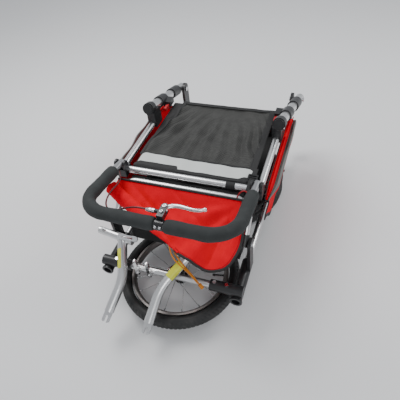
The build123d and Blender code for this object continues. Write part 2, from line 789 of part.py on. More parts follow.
def arm_place(x, yaw):
    return Pos(x, arm_tip_y, arm_tip_z) * Rot(0, 0, yaw) * Rot(arm_slope, 0, 0)


def arm_top(side):
    turn = radians(arm_bend_degrees)
    return (side * arm_upper * sin(turn), arm_lower + arm_upper * cos(turn), 0)


def jogging_arm(side, word, x, yaw, loop_heading):
    """Arm whose foot is at x, turned by yaw, with its lock loop pointing at loop_heading from +X."""
    place = arm_place(x, yaw)
    top = arm_top(side)
    arm_points = [(0, 0, 0), (0, arm_lower, 0), top]
    body = bent_tube(arm_points, arm_bend_radius, arm_radius, arm_wall)
    inner = (top[0] - side * plug_inner, top[1], 0)
    outer = (top[0] + side * plug_outer, top[1], 0)
    stub_x = top[0] + side * (plug_outer - stub_from_end)
    stub = rod((stub_x, top[1], 0), (stub_x, top[1], plug_radius + stub_height), stub_radius)
    plate = block(
        (-dropout_width / 2, dropout_width / 2),
        (-dropout_length, dropout_root),
        (-dropout_thickness / 2, dropout_thickness / 2),
    )
    plate = fillet(plate.edges().filter_by(Axis.Z).group_by(Axis.Y)[0], dropout_rounding)
    slot_end_y = -dropout_length + dropout_slot_depth
    slot_width = (-dropout_slot / 2, dropout_slot / 2)
    through = (-dropout_thickness, dropout_thickness)
    slot = block(slot_width, (-dropout_length, slot_end_y), through)
    slot += rod((0, slot_end_y, through[0]), (0, slot_end_y, through[1]), dropout_slot / 2)
    loop_z = arm_radius + slot_gap
    pin = rod((top[0], top[1], 0), (top[0], top[1], loop_z + loop_thickness + 2), loop_pin_radius)
    plug = rod(inner, outer, plug_radius)
    parts[f"jog_arm_{word}"] = place * (body + plug + stub + pin + plate - slot)
    way = Rot(0, 0, loop_heading - yaw)
    window = SlotOverall(loop_length - 2 * loop_width, loop_width - 2 * loop_bar)
    loop = SlotOverall(loop_length, loop_width) - window
    loop = extrude(Pos(loop_length / 2 - loop_width / 2, 0) * loop, loop_thickness)
    loop -= Cylinder(loop_pin_radius + running, 4 * loop_thickness)
    parts[f"arm_lock_loop_{word}"] = place * Pos(top[0], top[1], loop_z) * way * loop


# Fabric and padding ---------------------------------------------------------------------------


def cabin():
    outer = block(
        (-tub_half_width, tub_half_width), (tub_front_y, tub_rear_y), (tub_floor_z, tub_top_z)
    )
    inner = block(
        (-tub_half_width + fabric, tub_half_width - fabric),
        (tub_front_y + fabric, tub_rear_y - fabric),
        (tub_floor_z + fabric, tub_top_z + 1),
    )
    parts["cabin_tub"] = outer - inner
    base_z = tub_floor_z + fabric + pad_gap
    back_z = base_z + pad_thickness + pad_gap
    for name, z, behind in zip(("seat_base", "seat_back"), (base_z, back_z), seat_front):
        front = tub_front_y + behind
        pad_x = (-seat_half_width, seat_half_width)
        pad = block(pad_x, (front, front + seat_length), (z, z + pad_thickness))
        parts[name] = fillet(pad.edges().filter_by(Axis.Z), pad_rounding)


def front_cover():
    outline = [
        (-cover_left, cover_rear_y), (cover_right - 19, cover_rear_y), (cover_right, -225),
        (cover_right - 4, -292), (cover_right - 42, cover_front_y), (80, -325), (4, -292),
        (-cover_left - 2, -188),
    ]
    plan = extrude(Plane.XY * make_face(Polyline(*outline, close=True)), 400)
    slab_outline = [
        (cover_rear_y, cover_rear_z - cover_thickness),
        (cover_rear_y, cover_rear_z),
        (cover_front_y, cover_front_z),
        (cover_front_y, cover_front_z - cover_thickness),
    ]
    slab = extrude(Plane.YZ * make_face(Polyline(*slab_outline, close=True)), 260, both=True)
    parts["front_cover"] = plan & slab


def back_fabric():
    top = mesh_z + mesh_thickness
    parts["mesh_panel"] = block(
        (-mesh_half_width, mesh_half_width), (mesh_front_y, mesh_rear_y), (mesh_z, top)
    )
    strip_z = top + slot_gap
    strip = block(
        (-mesh_half_width + 8, mesh_half_width - 4),
        (mesh_front_y, mesh_front_y + strip_length),
        (strip_z, strip_z + strip_thickness),
    )
    parts["reflective_strip"] = fillet(strip.edges().filter_by(Axis.Z), strip_rounding)
    strap_rear = mesh_front_y - slot_gap
    parts["edge_strap"] = block(
        (-mesh_half_width, mesh_half_width - 3),
        (strap_rear - strap_width, strap_rear),
        (mesh_z, mesh_z + strap_thickness),
    )
    buckle_z = strip_z + strip_thickness + slot_gap
    middle = Pos(mesh_half_width - 1, mesh_front_y + 9, buckle_z + buckle_thickness / 2)
    frame = middle * Box(buckle_width, buckle_length, buckle_thickness)
    window = Box(buckle_width - 2 * buckle_rim, buckle_pitch / 2, 2 * buckle_thickness)
    for shift in (-buckle_pitch, 0, buckle_pitch):
        frame -= middle * Pos(0, shift, 0) * window
    parts["strap_buckle"] = frame


def side_fabric():
    for side, word in ((-1, "left"), (1, "right")):
        outline = [
            (side_panel_front_y, side_panel_bottom_z),
            (side_panel_front_y, side_panel_top_z),
            (side_panel_drop_y, side_panel_top_z),
            (side_panel_rear_y, side_panel_rear_z),
            (side_panel_rear_y, side_panel_bottom_z),
        ]
        sheet = extrude(Plane.YZ * make_face(Polyline(*outline, close=True)), side_panel_thickness)
        inner_x = side_panel_x if side == 1 else -side_panel_x - side_panel_thickness
        parts[f"side_panel_{word}"] = Pos(inner_x, 0, 0) * sheet
    middle = (hoop_top_y + hoop_radius + back_cross_y - tube_radius) / 2
    half = (back_cross_y - tube_radius - hoop_top_y - hoop_radius) / 2 - roof_clearance
    parts["roof_panel"] = block(
        (-mesh_half_width + 12, mesh_half_width - 12),
        (middle - half, middle + half),
        (hoop_top_z - roof_depth, hoop_top_z + 3),
    )


def cords():
    parts["brake_cable"] = cord(cable_points, cable_diameter)
    parts["pull_cord"] = cord(pull_points, pull_diameter)
    last = Vector(*pull_points[-1])
    way = (last - Vector(*pull_points[-2])).normalized()
    start = last + way * 0.1
    parts["pull_toggle"] = rod(tuple(start), tuple(start + way * toggle_length), toggle_radius)
    parts["tie_loop"] = cord(tie_points, tie_diameter)


main_wheels()
jog_wheel()
lower_frame()
axle_pins()
back_frame()
handlebar()
brake_lever()
brake_arms()
jogging_arm(-1, "left", arm_left_x, arm_left_yaw, 0)
jogging_arm(1, "right", arm_right_x, arm_right_yaw, loop_right_heading)
cabin()
front_cover()
back_fabric()
side_fabric()
cords()

for name, shape in parts.items():
    export_step(shape, f"parts/{name}.step")
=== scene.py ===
import json
import math

import bpy
import numpy as np
from mathutils import Matrix, Vector


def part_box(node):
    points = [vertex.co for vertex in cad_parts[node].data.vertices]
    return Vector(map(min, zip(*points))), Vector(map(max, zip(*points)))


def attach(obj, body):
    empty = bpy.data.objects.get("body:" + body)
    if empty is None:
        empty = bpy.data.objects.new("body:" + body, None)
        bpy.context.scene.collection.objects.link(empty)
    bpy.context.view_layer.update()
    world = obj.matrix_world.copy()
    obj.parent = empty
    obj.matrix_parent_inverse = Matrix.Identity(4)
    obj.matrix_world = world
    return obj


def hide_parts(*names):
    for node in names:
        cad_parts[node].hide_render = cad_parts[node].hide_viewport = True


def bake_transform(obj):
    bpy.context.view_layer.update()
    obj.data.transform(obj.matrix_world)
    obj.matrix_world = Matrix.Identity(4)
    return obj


# A folded child bicycle trailer: tubes and fittings come from the CAD frame, and this script adds
# its fabric, foam, tyres, cords and finishes. Lengths in the lists of points are in millimetres.

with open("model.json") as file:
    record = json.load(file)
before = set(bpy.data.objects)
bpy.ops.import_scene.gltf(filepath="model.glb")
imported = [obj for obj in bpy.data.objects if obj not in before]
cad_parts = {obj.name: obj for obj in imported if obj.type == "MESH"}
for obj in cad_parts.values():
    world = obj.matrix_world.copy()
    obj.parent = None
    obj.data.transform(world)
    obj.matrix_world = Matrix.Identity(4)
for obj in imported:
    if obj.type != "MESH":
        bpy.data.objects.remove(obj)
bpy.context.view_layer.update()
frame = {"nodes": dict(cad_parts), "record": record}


# Small tools --------------------------------------------------------------------------------


def m(values):
    return np.array(values, float) / 1000.0


def ramp(t, a=0.0, b=1.0):
    t = np.clip((t - a) / (b - a), 0.0, 1.0)
    return t * t * (3 - 2 * t)


def unit(v):
    return v / np.maximum(np.linalg.norm(v, axis=-1, keepdims=True), 1e-12)


def field(x, y, size, seed, waves=7):
    """Soft uneven height between about -1 and 1: a sum of plane waves whose lengths lie round
    size and whose directions and phases come from seed."""
    dice = np.random.default_rng(seed)
    total = 0.0
    for _ in range(waves):
        angle = dice.uniform(0, 2 * math.pi)
        length = size * dice.uniform(0.6, 1.6)
        phase = dice.uniform(0, 2 * math.pi)
        along = x * math.cos(angle) + y * math.sin(angle)
        total = total + np.sin(2 * math.pi * along / length + phase)
    return total / math.sqrt(waves * 2.0)


def spline(points, count):
    """Smooth line through points, as count points evenly spaced along its length."""
    p = np.array(points, float)
    ends = np.vstack([2 * p[0] - p[1], p, 2 * p[-1] - p[-2]])
    line = []
    for i in range(len(p) - 1):
        a, b, c, d = ends[i : i + 4]
        t = np.linspace(0, 1, 24, endpoint=False)[:, None]
        curve = 2 * b + (c - a) * t + (2 * a - 5 * b + 4 * c - d) * t**2
        line.append((curve + (3 * b - a - 3 * c + d) * t**3) / 2)
    return even(np.vstack(line + [p[-1:]]), count)


def even(line, count):
    steps = np.linalg.norm(np.diff(line, axis=0), axis=1)
    far = np.concatenate([[0], np.cumsum(steps)])
    at = np.linspace(0, far[-1], count)
    return np.stack([np.interp(at, far, line[:, k]) for k in range(line.shape[1])], 1)


def rounded(corners, radius, count):
    """Straight runs between corners, joined by arcs of radius, as count even points."""
    p = np.array(corners, float)
    line = [p[0]]
    for a, b, c in zip(p[:-2], p[1:-1], p[2:]):
        u, w = unit(a - b), unit(c - b)
        half = math.acos(float(np.clip(np.dot(u, w), -1, 1))) / 2
        cut = radius / math.tan(half)
        centre = b + unit(u + w) * (radius / math.sin(half))
        start, end = b + u * cut - centre, b + w * cut - centre
        sweep_angle = math.pi - 2 * half
        for t in np.linspace(0, 1, 16):
            weights = math.sin((1 - t) * sweep_angle), math.sin(t * sweep_angle)
            line.append(centre + (weights[0] * start + weights[1] * end) / math.sin(sweep_angle))
    return even(np.vstack(line + [p[-1]]), count)


def frames(line):
    """Tangent and two cross directions at each point of line, carried along without twist."""
    tangent = unit(np.gradient(line, axis=0))
    guess = np.array([0.0, 0.0, 1.0]) if abs(tangent[0, 2]) < 0.9 else np.array([0.0, 1.0, 0.0])
    side = np.zeros_like(line)
    for i, t in enumerate(tangent):
        guess = guess - t * np.dot(guess, t)
        guess = guess / np.linalg.norm(guess)
        side[i] = guess
    return tangent, side, np.cross(tangent, side)


def normals(grid):
    return unit(np.cross(np.gradient(grid, axis=0), np.gradient(grid, axis=1)))


def arcs(grid):
    """Length along each way of the grid at each point, in metres: the cloth's own coordinates."""
    du = np.linalg.norm(np.diff(grid, axis=0), axis=2).mean(1)
    dv = np.linalg.norm(np.diff(grid, axis=1), axis=2).mean(0)
    u = np.concatenate([[0], np.cumsum(du)])
    v = np.concatenate([[0], np.cumsum(dv)])
    return np.meshgrid(u, v, indexing="ij")


def build(name, points, quads, uv, slot, material=None):
    """One mesh object from points, rows of four corners, and a cloth coordinate per point."""
    mesh = bpy.data.meshes.new(name)
    mesh.vertices.add(len(points))
    mesh.vertices.foreach_set("co", np.asarray(points, np.float32).ravel())
    mesh.loops.add(quads.size)
    mesh.loops.foreach_set("vertex_index", quads.astype(np.int32).ravel())
    mesh.polygons.add(len(quads))
    mesh.polygons.foreach_set("loop_start", np.arange(0, quads.size, 4, dtype=np.int32))
    layer = mesh.uv_layers.new(name="UVMap")
    layer.data.foreach_set("uv", np.asarray(uv, np.float32)[quads.ravel()].ravel())
    mesh.update(calc_edges=True)
    mesh.polygons.foreach_set("use_smooth", np.ones(len(quads), bool))
    mesh.materials.append(material or MATERIALS[slot])
    obj = bpy.data.objects.new(name, mesh)
    bpy.context.scene.collection.objects.link(obj)
    return obj


def grid_quads(nu, nv, wrap_u=False, wrap_v=False):
    i = np.arange(nu if wrap_u else nu - 1)[:, None]
    j = np.arange(nv if wrap_v else nv - 1)[None, :]
    i2, j2 = (i + 1) % nu, (j + 1) % nv
    corners = [i * nv + j, i2 * nv + j, i2 * nv + j2, i * nv + j2]
    return np.stack([np.broadcast_to(c, (i.size, j.size)) for c in corners], -1).reshape(-1, 4)


def surface(name, grid, slot, material=None, wrap_u=False, wrap_v=False):
    nu, nv = grid.shape[:2]
    u, v = arcs(grid)
    flat = np.stack([u, v], -1).reshape(-1, 2)
    quads = grid_quads(nu, nv, wrap_u, wrap_v)
    return build(name, grid.reshape(-1, 3), quads, flat, slot, material)


def border(index):
    """The indices round the edge of a grid of indices."""
    return np.concatenate([index[:, 0], index[-1, 1:], index[-2::-1, -1], index[0, -2:0:-1]])


def cloth(name, grid, thickness, slot, material=None):
    """A sheet of real thickness: the grid moved half of it each way along its normals, with the
    two faces joined round the edge."""
    nu, nv = grid.shape[:2]
    n = normals(grid) * thickness / 2
    both = np.concatenate([(grid + n).reshape(-1, 3), (grid - n).reshape(-1, 3)])
    u, v = arcs(grid)
    flat = np.tile(np.stack([u, v], -1).reshape(-1, 2), (2, 1))
    top = grid_quads(nu, nv)
    low = top[:, ::-1] + nu * nv
    index = np.arange(nu * nv).reshape(nu, nv)
    rim = border(index)
    after = np.roll(rim, -1)
    edge = np.stack([after, rim, rim + nu * nv, after + nu * nv], 1)
    return build(name, both, np.concatenate([top, low, edge]), flat, slot, material)


def declare_sheet(grid):
    cross = np.cross(grid[1:, :-1] - grid[:-1, :-1], grid[:-1, 1:] - grid[:-1, :-1])


def rope(name, line, radius, slot, sides=20, ends=True):
    """A round length along line. radius may change from point to point, and the ends close in a
    quarter circle."""
    count = len(line)
    r = np.broadcast_to(np.asarray(radius, float), (count,)).copy()
    _, a, b = frames(line)
    if ends:
        steps = np.linspace(0, math.pi / 2, 6)[1:]
        tangent = unit(np.gradient(line, axis=0))
        dome = [(0.35 * math.sin(step), math.cos(step)) for step in steps]
        grow = [(line[0] - tangent[0] * r[0] * out, r[0] * share) for out, share in dome]
        fall = [(line[-1] + tangent[-1] * r[-1] * out, r[-1] * share) for out, share in dome]
        line = np.vstack([[p for p, _ in grow[::-1]], line, [p for p, _ in fall]])
        r = np.concatenate([[q for _, q in grow[::-1]], r, [q for _, q in fall]])
        a = np.vstack([np.repeat(a[:1], 5, 0), a, np.repeat(a[-1:], 5, 0)])
        b = np.vstack([np.repeat(b[:1], 5, 0), b, np.repeat(b[-1:], 5, 0)])
    angle = np.linspace(0, 2 * math.pi, sides, endpoint=False)
    ring = np.cos(angle)[None, :, None] * a[:, None] + np.sin(angle)[None, :, None] * b[:, None]
    grid = line[:, None] + ring * r[:, None, None]
    return surface(name, grid, slot, wrap_v=True)


def ribbon(name, line, across, width, thickness, slot, columns=8):
    """A woven tape along line, width wide towards across."""
    way = unit(np.broadcast_to(np.asarray(across, float), line.shape))
    share = np.linspace(-0.5, 0.5, columns)
    grid = line[:, None] + way[:, None] * (share * width)[None, :, None]
    return cloth(name, grid, thickness, slot)


def turned(name, profile, at, axis, slot, sides=48):
    """A turned piece: the profile of (distance along axis, radius) pairs swept round axis at at."""
    p = np.array(profile, float) / 1000
    w = unit(np.array(axis, float))
    a = unit(np.cross(w, [0.3, 0.9, 0.2]))
    b = np.cross(w, a)
    angle = np.linspace(0, 2 * math.pi, sides, endpoint=False)
    ring = np.cos(angle)[:, None] * a + np.sin(angle)[:, None] * b
    grid = m(at) + p[:, 0][:, None, None] * w + p[:, 1][:, None, None] * ring[None]
    return surface(name, grid, slot, wrap_v=True)


def joined(name, objs):
    """Several built pieces of one material as one mesh."""
    bpy.ops.object.select_all(action="DESELECT")
    for o in objs:
        o.select_set(True)
    bpy.context.view_layer.objects.active = objs[0]
    bpy.ops.object.join()
    objs[0].name = name
    return objs[0]


# Shader tools -------------------------------------------------------------------------------


class Value:
    """One shader socket. The usual operators make Math nodes."""

    def __init__(self, mat, socket):
        self.mat = mat
        self.socket = socket

    def __add__(self, other):
        return self.mat.math("ADD", self, other)

    __radd__ = __add__

    def __sub__(self, other):
        return self.mat.math("SUBTRACT", self, other)

    def __rsub__(self, other):
        return self.mat.math("SUBTRACT", other, self)

    def __mul__(self, other):
        return self.mat.math("MULTIPLY", self, other)

    __rmul__ = __mul__

    def sin(self):
        return self.mat.math("SINE", self)

    def cos(self):
        return self.mat.math("COSINE", self)

    def size(self):
        return self.mat.math("ABSOLUTE", self)

    def between(self, low, high):
        """0 below low, 1 above high, smooth between."""
        step = {"interpolation_type": "SMOOTHSTEP"}
        return self.mat.node("ShaderNodeMapRange", {"Value": self, 1: low, 2: high}, **step)


class Finish:
    """A material. node() adds any shader node, and math() a Math node."""

    def __init__(self, name, colour, rough, metal=0.0, **fixed):
        self.mat = bpy.data.materials.new(name)
        self.mat.use_nodes = True
        self.tree = self.mat.node_tree
        self.out = self.tree.nodes["Principled BSDF"]
        self.out.inputs["Base Color"].default_value = (*colour, 1)
        self.out.inputs["Roughness"].default_value = rough
        self.out.inputs["Metallic"].default_value = metal
        for key, value in fixed.items():
            self.out.inputs[key.replace("_", " ").title().replace("Ior", "IOR")].default_value = value
        self.mat.diffuse_color = (*colour, 1)
        self.base = colour

    def node(self, kind, inputs=(), out=0, **props):
        made = self.tree.nodes.new(kind)
        for key, value in props.items():
            setattr(made, key, value)
        for key, value in dict(inputs).items():
            socket = made.inputs[key]
            if isinstance(value, Value):
                self.tree.links.new(value.socket, socket)
            else:
                socket.default_value = value
        return Value(self, made.outputs[out])

    def math(self, operation, a, b=0.0):
        return self.node("ShaderNodeMath", {0: a, 1: b}, operation=operation)

    def place(self):
        return self.node("ShaderNodeTexCoord", out="Object")

    def split(self, vector):
        parts = self.node("ShaderNodeSeparateXYZ", {0: vector})
        return [Value(self, s) for s in parts.socket.node.outputs]

    def uv(self):
        return self.split(self.node("ShaderNodeTexCoord", out="UV"))[:2]

    def noise(self, size, detail=4.0, stretch=(1, 1, 1)):
        where = self.node("ShaderNodeMapping", {0: self.place(), 3: stretch})
        return self.node("ShaderNodeTexNoise", {"Vector": where, "Scale": 1 / size, "Detail": detail})

    def mix(self, share, a, b):
        ends = {"Factor": share, 6: a if isinstance(a, Value) else (*a, 1), 7: (*b, 1)}
        return self.node("ShaderNodeMix", ends, out=2, data_type="RGBA")

    def feed(self, name, value):
        self.tree.links.new(value.socket, self.out.inputs[name])

    def bump(self, height, depth, strength=1.0):
        up = {"Height": height, "Distance": depth, "Strength": strength}
        self.feed("Normal", self.node("ShaderNodeBump", up))


def shade(colour, by):
    return tuple(min(1.0, c * by) for c in colour)


def metal(name, colour, rough, grain=0.0006, dirt=0.25, depth=0.00002):
    """Metal with fine lines of wear, slow changes of sheen and a little dull dirt."""
    f = Finish(name, colour, rough, 1.0)
    slow = f.noise(0.035, 3.0)
    fine = f.noise(grain, 3.0, (1, 0.12, 1))
    wear = f.noise(0.009, 6.0).between(0.56, 0.74)
    f.feed("Roughness", slow * 0.16 + fine * 0.14 + wear * 0.12 + (rough - 0.16))
    f.feed("Base Color", f.mix(slow.between(0.35, 0.75) * dirt, colour, shade(colour, 0.62)))
    f.bump(fine + wear * 0.5, depth)
    return f.mat


def plastic(name, colour, rough, grain=0.0008, depth=0.00005, **fixed):
    """Moulded plastic: a pebbled skin, rubbed lighter here and there."""
    f = Finish(name, colour, rough, **fixed)
    skin = f.noise(grain, 2.0)
    worn = f.noise(0.018, 6.0).between(0.5, 0.75)
    f.feed("Base Color", f.mix(worn * 0.5, colour, shade(colour, 1.9)))
    f.feed("Roughness", worn * 0.14 + skin * 0.1 + (rough - 0.08))
    f.bump(skin, depth)
    return f.mat


def woven(name, colour, rough, thread=0.0009, depth=0.00008, slub=0.3, other=None, **fixed):
    """Woven cloth in its own coordinates: over and under threads, with the raised thread crowns painted
    lighter as a painted highlight, uneven yarn and soft fading.
    """
    f = Finish(name, colour, rough, **fixed)
    u, v = f.uv()
    turn = math.pi / thread
    warp, weft = (u * turn).sin(), (v * turn).sin()
    over = (warp * weft).between(-0.4, 0.4)
    height = over * warp.size() + (1.0 - over) * weft.size()
    fade = f.noise(0.05, 5.0)
    yarn = f.noise(0.0022, 3.0)
    tone = f.mix(fade.between(0.3, 0.75) * slub, colour, other or shade(colour, 0.62))
    # Colour lightens with thread height: a painted highlight on the raised threads. The yarn noise is real
    # uneven yarn.
    f.feed("Base Color", f.mix(height * 0.12 + yarn * 0.16, tone, shade(colour, 1.35)))
    f.feed("Roughness", yarn * 0.2 + (rough - 0.1))
    f.bump(height + yarn * 0.8, depth)
    return f.mat


def net(name, colour, hole, pitch=0.0044):
    """Open netting: rows of rounded holes set like bricks, dark where the lining shows."""
    f = Finish(name, colour, 0.75)
    u, v = f.uv()
    turn = math.pi / pitch
    a, b = ((u + v * 0.6) * turn).cos(), ((u - v * 0.6) * turn).cos()
    open_part = (a * b).between(0.05, 0.55)
    fade = f.noise(0.03, 5.0)
    tone = f.mix(fade.between(0.3, 0.7) * 0.5, colour, shade(colour, 0.55))
    f.feed("Base Color", f.mix(open_part, tone, hole))
    f.bump((1.0 - open_part) + f.noise(0.0012, 2.0) * 0.3, 0.0005, 0.8)
    return f.mat


def sponge(name, colour, rough):
    """Closed-cell foam: small pits of several sizes and rubbed patches."""
    f = Finish(name, colour, rough)
    pits = f.node("ShaderNodeTexVoronoi", {"Vector": f.place(), "Scale": 900.0, "Randomness": 1.0})
    fine = f.noise(0.0011, 5.0)
    rub = f.noise(0.03, 5.0).between(0.42, 0.7)
    f.feed("Base Color", f.mix(rub * 0.35 + fine * 0.2, colour, shade(colour, 1.7)))
    f.feed("Roughness", fine * 0.15 + (rough - 0.07))
    f.bump(pits + fine, 0.0002)
    return f.mat


def rubber(name, colour, rough):
    """Tyre rubber: moulded skin with dusty patches."""
    f = Finish(name, colour, rough)
    dust = f.noise(0.03, 7.0).between(0.45, 0.75)
    fine = f.noise(0.0008, 3.0)
    f.feed("Base Color", f.mix(dust * 0.4, colour, (0.09, 0.085, 0.08)))
    f.feed("Roughness", dust * 0.15 + fine * 0.12 + (rough - 0.1))
    f.bump(fine, 0.00006)
    return f.mat


def braid(name, colour, pitch=0.003):
    """Braided cord: two sets of strands that cross slantwise round it, with the grooves between them
    darkened as painted shade.
    """
    f = Finish(name, colour, 0.7)
    x, y, z = f.split(f.place())
    turn = 2 * math.pi / pitch
    weave = ((x + y + z) * turn).sin() * ((x - y - z) * turn).sin()
    fuzz = f.noise(0.0008, 3.0)
    # Low parts of the weave are darker: painted shade in the grooves between strands. The fuzz noise is
    # real uneven fibre.
    f.feed("Base Color", f.mix(weave.between(-0.6, 0.6) * 0.5 + fuzz * 0.2, shade(colour, 0.6), colour))
    f.bump(weave + fuzz, 0.0003)
    return f.mat


MATERIALS = {
    "silver_tube": metal("silver_tube", (0.72, 0.72, 0.72), 0.30, dirt=0.18),
    "handlebar_tube": metal("handlebar_tube", (0.42, 0.42, 0.43), 0.38),
    "black_casting": plastic("black_casting", (0.016, 0.016, 0.017), 0.42),
    "steel_fastener": metal("steel_fastener", (0.72, 0.72, 0.73), 0.24, depth=0.000008),
    "button_black": plastic("button_black", (0.02, 0.02, 0.02), 0.4),
    "polished_alloy": metal("polished_alloy", (0.86, 0.86, 0.86), 0.22, dirt=0.1, depth=0.000006),
    "brake_black": plastic("brake_black", (0.014, 0.014, 0.015), 0.3, 0.0005),
    "foam": sponge("foam", (0.022, 0.025, 0.025), 0.85),
    "cable_housing": plastic("cable_housing", (0.09, 0.012, 0.014), 0.4),
    "tyre_rubber": rubber("tyre_rubber", (0.013, 0.013, 0.013), 0.62),
    "rim_alloy": metal("rim_alloy", (0.27, 0.25, 0.24), 0.5),
    "spoke_steel": metal("spoke_steel", (0.66, 0.66, 0.66), 0.28),
    "hub_black": plastic("hub_black", (0.02, 0.02, 0.02), 0.3, 0.0005),
    "black_fabric": woven("black_fabric", (0.011, 0.011, 0.011), 0.72, other=(0.02, 0.019, 0.018)),
    "seat_fabric": woven("seat_fabric", (0.035, 0.036, 0.04), 0.82, thread=0.0016, depth=0.0002),
    "red_fabric": woven("red_fabric", (0.72, 0.0005, 0.014), 0.75, thread=0.0007, depth=0.00005,
                        other=(0.52, 0.0004, 0.009), specular_ior_level=0.06),
    "mesh_fabric": net("mesh_fabric", (0.052, 0.052, 0.048), (0.006, 0.006, 0.006)),
    "reflective_fabric": woven("reflective_fabric", (0.55, 0.57, 0.55), 0.45, thread=0.0006,
                               depth=0.00004, other=(0.47, 0.49, 0.47)),
    "buckle_plastic": plastic("buckle_plastic", (0.012, 0.012, 0.012), 0.3, 0.0004),
    "red_plastic": plastic("red_plastic", (0.42, 0.01, 0.014), 0.35),
    "orange_cord": braid("orange_cord", (0.9, 0.3, 0.01)),
    "red_cord": braid("red_cord", (0.62, 0.01, 0.02)),
}
LABEL = plastic("label_yellow", (0.66, 0.68, 0.03), 0.35, 0.0006, 0.00002)
PALE_GREY = woven("pale_grey_fabric", (0.13, 0.145, 0.135), 0.6, other=(0.09, 0.1, 0.095))

for row in frame["record"]["subparts"]:
    node = frame["nodes"][row["node"]]
    node.data.materials.clear()
    node.data.materials.append(MATERIALS[row["material_slot"]])


# Tyres: a bulged section with tread blocks --------------------------------------------------


def tyre(name, node, body, at_y, at_z, rim_radius, radius, width, steps):
    """The tyre's section is an oval open at the rim. Towards the tread it grows by rows of blocks
    that lean to the travel direction, and its walls carry fine rings."""
    bead = 2.45
    a = np.linspace(-bead, bead, 72)
    turn = np.linspace(0, 2 * math.pi, steps, endpoint=False)
    t, s = np.meshgrid(turn, a, indexing="ij")
    knob = 0.0016
    half = (radius - rim_radius) / 2 + 0.001
    middle = radius - half
    blocks = round(2 * math.pi * radius / 0.014)
    lean = np.sin(blocks * t + 5.0 * np.abs(s))
    groove = ramp(lean, -0.35, 0.05) * ramp(np.abs(s), 0.16, 0.22)
    rib = 1 - ramp(np.abs(s), 0.09, 0.14)
    tread = np.maximum(groove, rib) * (1 - ramp(np.abs(s), 0.85, 0.95))
    rings = 0.0003 * np.sin(95 * s) * ramp(np.abs(s), 1.15, 1.25)
    out = half - knob + knob * tread + rings
    r = middle + out * np.cos(s)
    z = (width / 2 - 0.0006) / half * out * np.sin(s)
    r = np.maximum(r, rim_radius - 0.001)
    grid = np.stack([r * np.cos(t), at_y + r * np.sin(t), at_z + z], -1)
    obj = surface(name, grid, "tyre_rubber", wrap_u=True)
    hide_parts(node)
    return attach(obj, body)


tyre("jog_tyre_tread", "jog_tyre", "jog_wheel", -0.258, 0.050, 0.160, 0.197, 0.047, 540)
for number, height in ((1, 0.0235), (2, 0.0715)):
    tyre(f"main_tyre_tread_{number}", f"main_tyre_{number}", f"main_wheel_{number}",
         0.218, height, 0.209, 0.247, 0.047, 420)


def wheel_fittings(name, body, at_y, at_z, rim_in, spokes):
    """Nipples where the spokes meet the rim, and a valve with its cap."""
    made = []
    for i in range(spokes):
        a = 2 * math.pi * i / spokes
        way = np.array([math.cos(a), math.sin(a), 0.0])
        at = way * (rim_in + 0.5) + [0, at_y, at_z]
        profile = [(0, 0.1), (0, 2.6), (1.5, 2.6), (2.2, 1.9), (11, 1.7), (11.8, 1.3), (12, 0.1)]
        made.append(turned(f"{name}_nipple_{i}", profile, at, -way, "steel_fastener", 14))
    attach(joined(f"{name}_nipples", made), body)
    way = np.array([math.cos(0.19), math.sin(0.19), 0.0])
    at = way * (rim_in + 0.5) + [0, at_y, at_z]
    thread = [(0, 5.2), (2, 5.2), (2.2, 3.2)]
    thread += [(2.5 + 0.45 * k, 3.0 - 0.3 * (k % 2)) for k in range(60)]
    thread += [(29.6, 4.2), (30.2, 4.4), (37, 4.0), (38.2, 3.0), (38.4, 0.1)]
    valve = turned(f"{name}_valve", thread, at, -way, "hub_black", 24)
    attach(valve, body)


wheel_fittings("jog", "jog_wheel", -258, 50, 145, 16)
for number, height in ((1, 23.5), (2, 71.5)):
    wheel_fittings(f"main_{number}", f"main_wheel_{number}", 218, height, 194, 20)


# Foam on the handlebar ------------------------------------------------------------------------

BAR = rounded(m([(-219, -105, 360), (-219, -344, 402), (219, -344, 402), (219, -105, 360)]), 0.080, 700)


def along_bar(low, high):
    """The part of the handlebar's middle line that lies between two shares of its length."""
    far = np.linspace(0, 1, len(BAR))
    return BAR[(far >= low) & (far <= high)]


def foam(name, node, low, high):
    """A foam tube that is fullest between its ends, with squeezed places and a moulding seam."""
    line = even(along_bar(low, high), 300)
    share = np.linspace(0, 1, 300)
    far = share * np.linalg.norm(np.diff(line, axis=0), axis=1).sum()
    edge = np.minimum(far, far[-1] - far)
    swell = 0.0192 * (1 - 0.18 * np.exp(-edge / 0.004)) + 0.0004 * np.sin(far * 70)
    _, a, b = frames(line)
    turn = np.linspace(0, 2 * math.pi, 72, endpoint=False)
    f, t = np.meshgrid(far, turn, indexing="ij")
    seam = 0.0007 * np.exp(-((t - 4.4) / 0.05) ** 2)
    r = swell[:, None] + 0.00035 * field(f, t * 0.02, 0.03, 5) - seam
    ring = np.cos(t)[..., None] * a[:, None] + np.sin(t)[..., None] * b[:, None]
    grid = line[:, None] + ring * r[..., None]
    caps = [line[i] + (grid[i] - line[i]) * k for i, k in ((0, 0.93), (-1, 0.93))]
    inner = [line[i] + (grid[i] - line[i]) * 0.6 for i in (0, -1)]
    grid = np.concatenate([[inner[0]], [caps[0]], grid, [caps[1]], [inner[1]]])
    obj = surface(name, grid, "foam", wrap_v=True)
    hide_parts(node)
    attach(obj, "handlebar")
    return obj


def share_at(x=None, y=None, left=True):
    """Share of the bar's length where it crosses an x, or a y on one side."""
    far = np.linspace(0, 1, len(BAR))
    if x is not None:
        middle = (far > 0.3) & (far < 0.7)
        return far[middle][np.argmin(np.abs(BAR[middle][:, 0] - x))]
    half = far < 0.5 if left else far > 0.5
    return far[half][np.argmin(np.abs(BAR[half][:, 1] - y))]


left_box, right_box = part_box("foam_grip_left"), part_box("foam_grip_right")
foam("foam_left", "foam_grip_left", share_at(y=-0.150), share_at(x=left_box[1][0]))
foam("foam_right", "foam_grip_right", share_at(x=right_box[0][0]), share_at(y=-0.150, left=False))


# Red cover ------------------------------------------------------------------------------------

